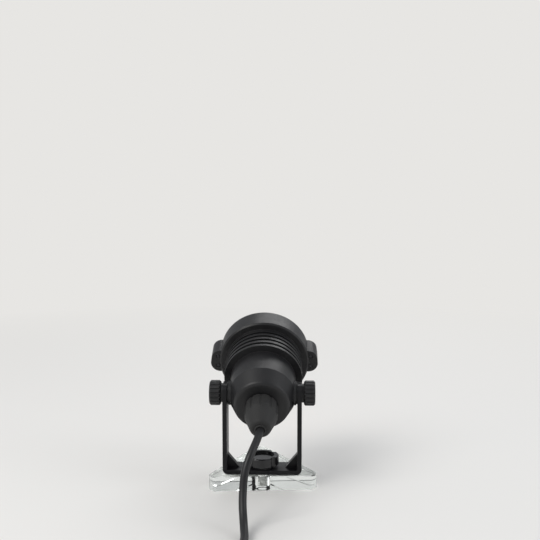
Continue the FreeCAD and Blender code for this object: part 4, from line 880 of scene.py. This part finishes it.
gold = metal("gold_plate", (0.83, 0.62, 0.28), rough=0.22, edge=0.08)
contacts = several("plug_contacts", [contact(*place) for place in CONTACT_PLACES], "plug_metal", "yoke")
contacts.data.materials[0] = gold

# %% [markdown]
# ## The floor
# The lamp stands on a plain pale floor. A sheet that curves up behind it would hide the floor's
# edge, but only from one side. So the floor is one wide disc, whose far part takes the colour of
# the background all round. It lies a tenth of a millimetre lower than the lamp's base: acrylic that
# is only laid down has a film of air under it, and its underside mirrors the light because of that.

# %% Floor
PALE = (0.80, 0.79, 0.77)
FLOOR_RADIUS = 4.0
FLOOR_SIDES = 96
AIR_FILM = 0.1 * MM
FADE_FROM, FADE_TO = 0.25, 0.9  # metres from the lamp
FLOOR_ROUGHNESS, FLOOR_GLOSS = 0.6, 0.2


def floor_finish():
    material, nodes, links, shader = new_material("pale_floor")
    shader.inputs["Base Color"].default_value = (*PALE, 1.0)
    shader.inputs["Roughness"].default_value = FLOOR_ROUGHNESS
    shader.inputs["Specular IOR Level"].default_value = FLOOR_GLOSS
    place = nodes.new("ShaderNodeTexCoord")
    distance = nodes.new("ShaderNodeVectorMath")
    distance.operation = "LENGTH"
    links.new(place.outputs["Object"], distance.inputs[0])
    far = between(nodes, links, distance.outputs["Value"], low=0.0, high=1.0,
                  start=FADE_FROM, end=FADE_TO)
    glow = nodes.new("ShaderNodeEmission")
    glow.inputs["Color"].default_value = (*PALE, 1.0)
    blend = nodes.new("ShaderNodeMixShader")
    links.new(far, blend.inputs[0])
    links.new(shader.outputs[0], blend.inputs[1])
    links.new(glow.outputs[0], blend.inputs[2])
    links.new(blend.outputs[0], nodes["Material Output"].inputs["Surface"])
    return material


bpy.ops.mesh.primitive_circle_add(
    vertices=FLOOR_SIDES, radius=FLOOR_RADIUS, fill_type="NGON", location=(0.0, 0.0, -AIR_FILM))
floor = bpy.context.object
floor.name = "pale_floor"
floor.data.materials.append(floor_finish())
print("floor:", 2 * FLOOR_RADIUS, "m across,", round(AIR_FILM / MM, 1), "mm under the base")

# %% [markdown]
# ## The room's light
# A room lights a thing from all sides, softly and a little bluish. An even world is the simplest
# way to have that. To the camera, and to rays that come through the glass, the world shows the
# plain pale background instead, which keeps the background apart from the light.

# %% World
ROOM_LIGHT, ROOM_STRENGTH = (0.95, 0.97, 1.0), 0.48
BACKGROUND_STRENGTH = 1.0

world = bpy.data.worlds.new("studio")
bpy.context.scene.world = world
world.use_nodes = True
sky = world.node_tree.nodes
join = world.node_tree.links
seen = sky["Background"]
seen.inputs["Color"].default_value = (*PALE, 1.0)
seen.inputs["Strength"].default_value = BACKGROUND_STRENGTH
fill = sky.new("ShaderNodeBackground")
fill.inputs["Color"].default_value = (*ROOM_LIGHT, 1.0)
fill.inputs["Strength"].default_value = ROOM_STRENGTH
path = sky.new("ShaderNodeLightPath")
most = sky.new("ShaderNodeMath")
most.operation = "MAXIMUM"
join.new(path.outputs["Is Camera Ray"], most.inputs[0])
join.new(path.outputs["Is Transmission Ray"], most.inputs[1])
choice = sky.new("ShaderNodeMixShader")
join.new(most.outputs[0], choice.inputs[0])
join.new(fill.outputs[0], choice.inputs[1])
join.new(seen.outputs[0], choice.inputs[2])
join.new(choice.outputs[0], sky["World Output"].inputs["Surface"])
print("room light at", ROOM_STRENGTH)

# %% [markdown]
# ## The lamps
# A studio adds lamps with a large face, because a large face gives soft shadows and long calm
# highlights on black. There are three: a warm one from the upper left, a weak one from the right,
# and one from behind that draws the upper edges. Each lamp's strength is a share of full white, so
# it doesn't depend on how far away the lamp stands.

# %% Lamps
AIM = Vector((0.0, 0.0, 0.05))
# Name, place, width and height, in metres, then the share of full white, and the colour.
SOFTBOXES = (
    ("key", (-0.75, -0.55, 0.95), (0.7, 0.7), 0.52, (1.0, 0.985, 0.96)),
    ("side", (0.95, -0.25, 0.55), (0.35, 0.8), 0.2, (0.96, 0.98, 1.0)),
    ("rear", (0.25, 0.95, 0.85), (0.9, 0.4), 0.28, (1.0, 1.0, 1.0)),
)


def softbox(name, place, size, share, colour):
    """An area lamp aimed at the middle of the object. A share of 1 would light white to full white."""
    place = Vector(place)
    reach = (AIM - place).length
    light = bpy.data.lights.new(name, "AREA")
    light.shape = "RECTANGLE"
    light.size, light.size_y = size
    light.energy = share * math.pi ** 2 * reach ** 2
    light.color = colour
    holder = bpy.data.objects.new(name, light)
    holder.location = place
    holder.rotation_euler = (AIM - place).to_track_quat("-Z", "Y").to_euler()
    bpy.context.scene.collection.objects.link(holder)
    print(name, "lamp:", round(light.energy, 2), "watts")


for box in SOFTBOXES:
    softbox(*box)

scene = bpy.context.scene
scene.view_settings.view_transform = "Standard"
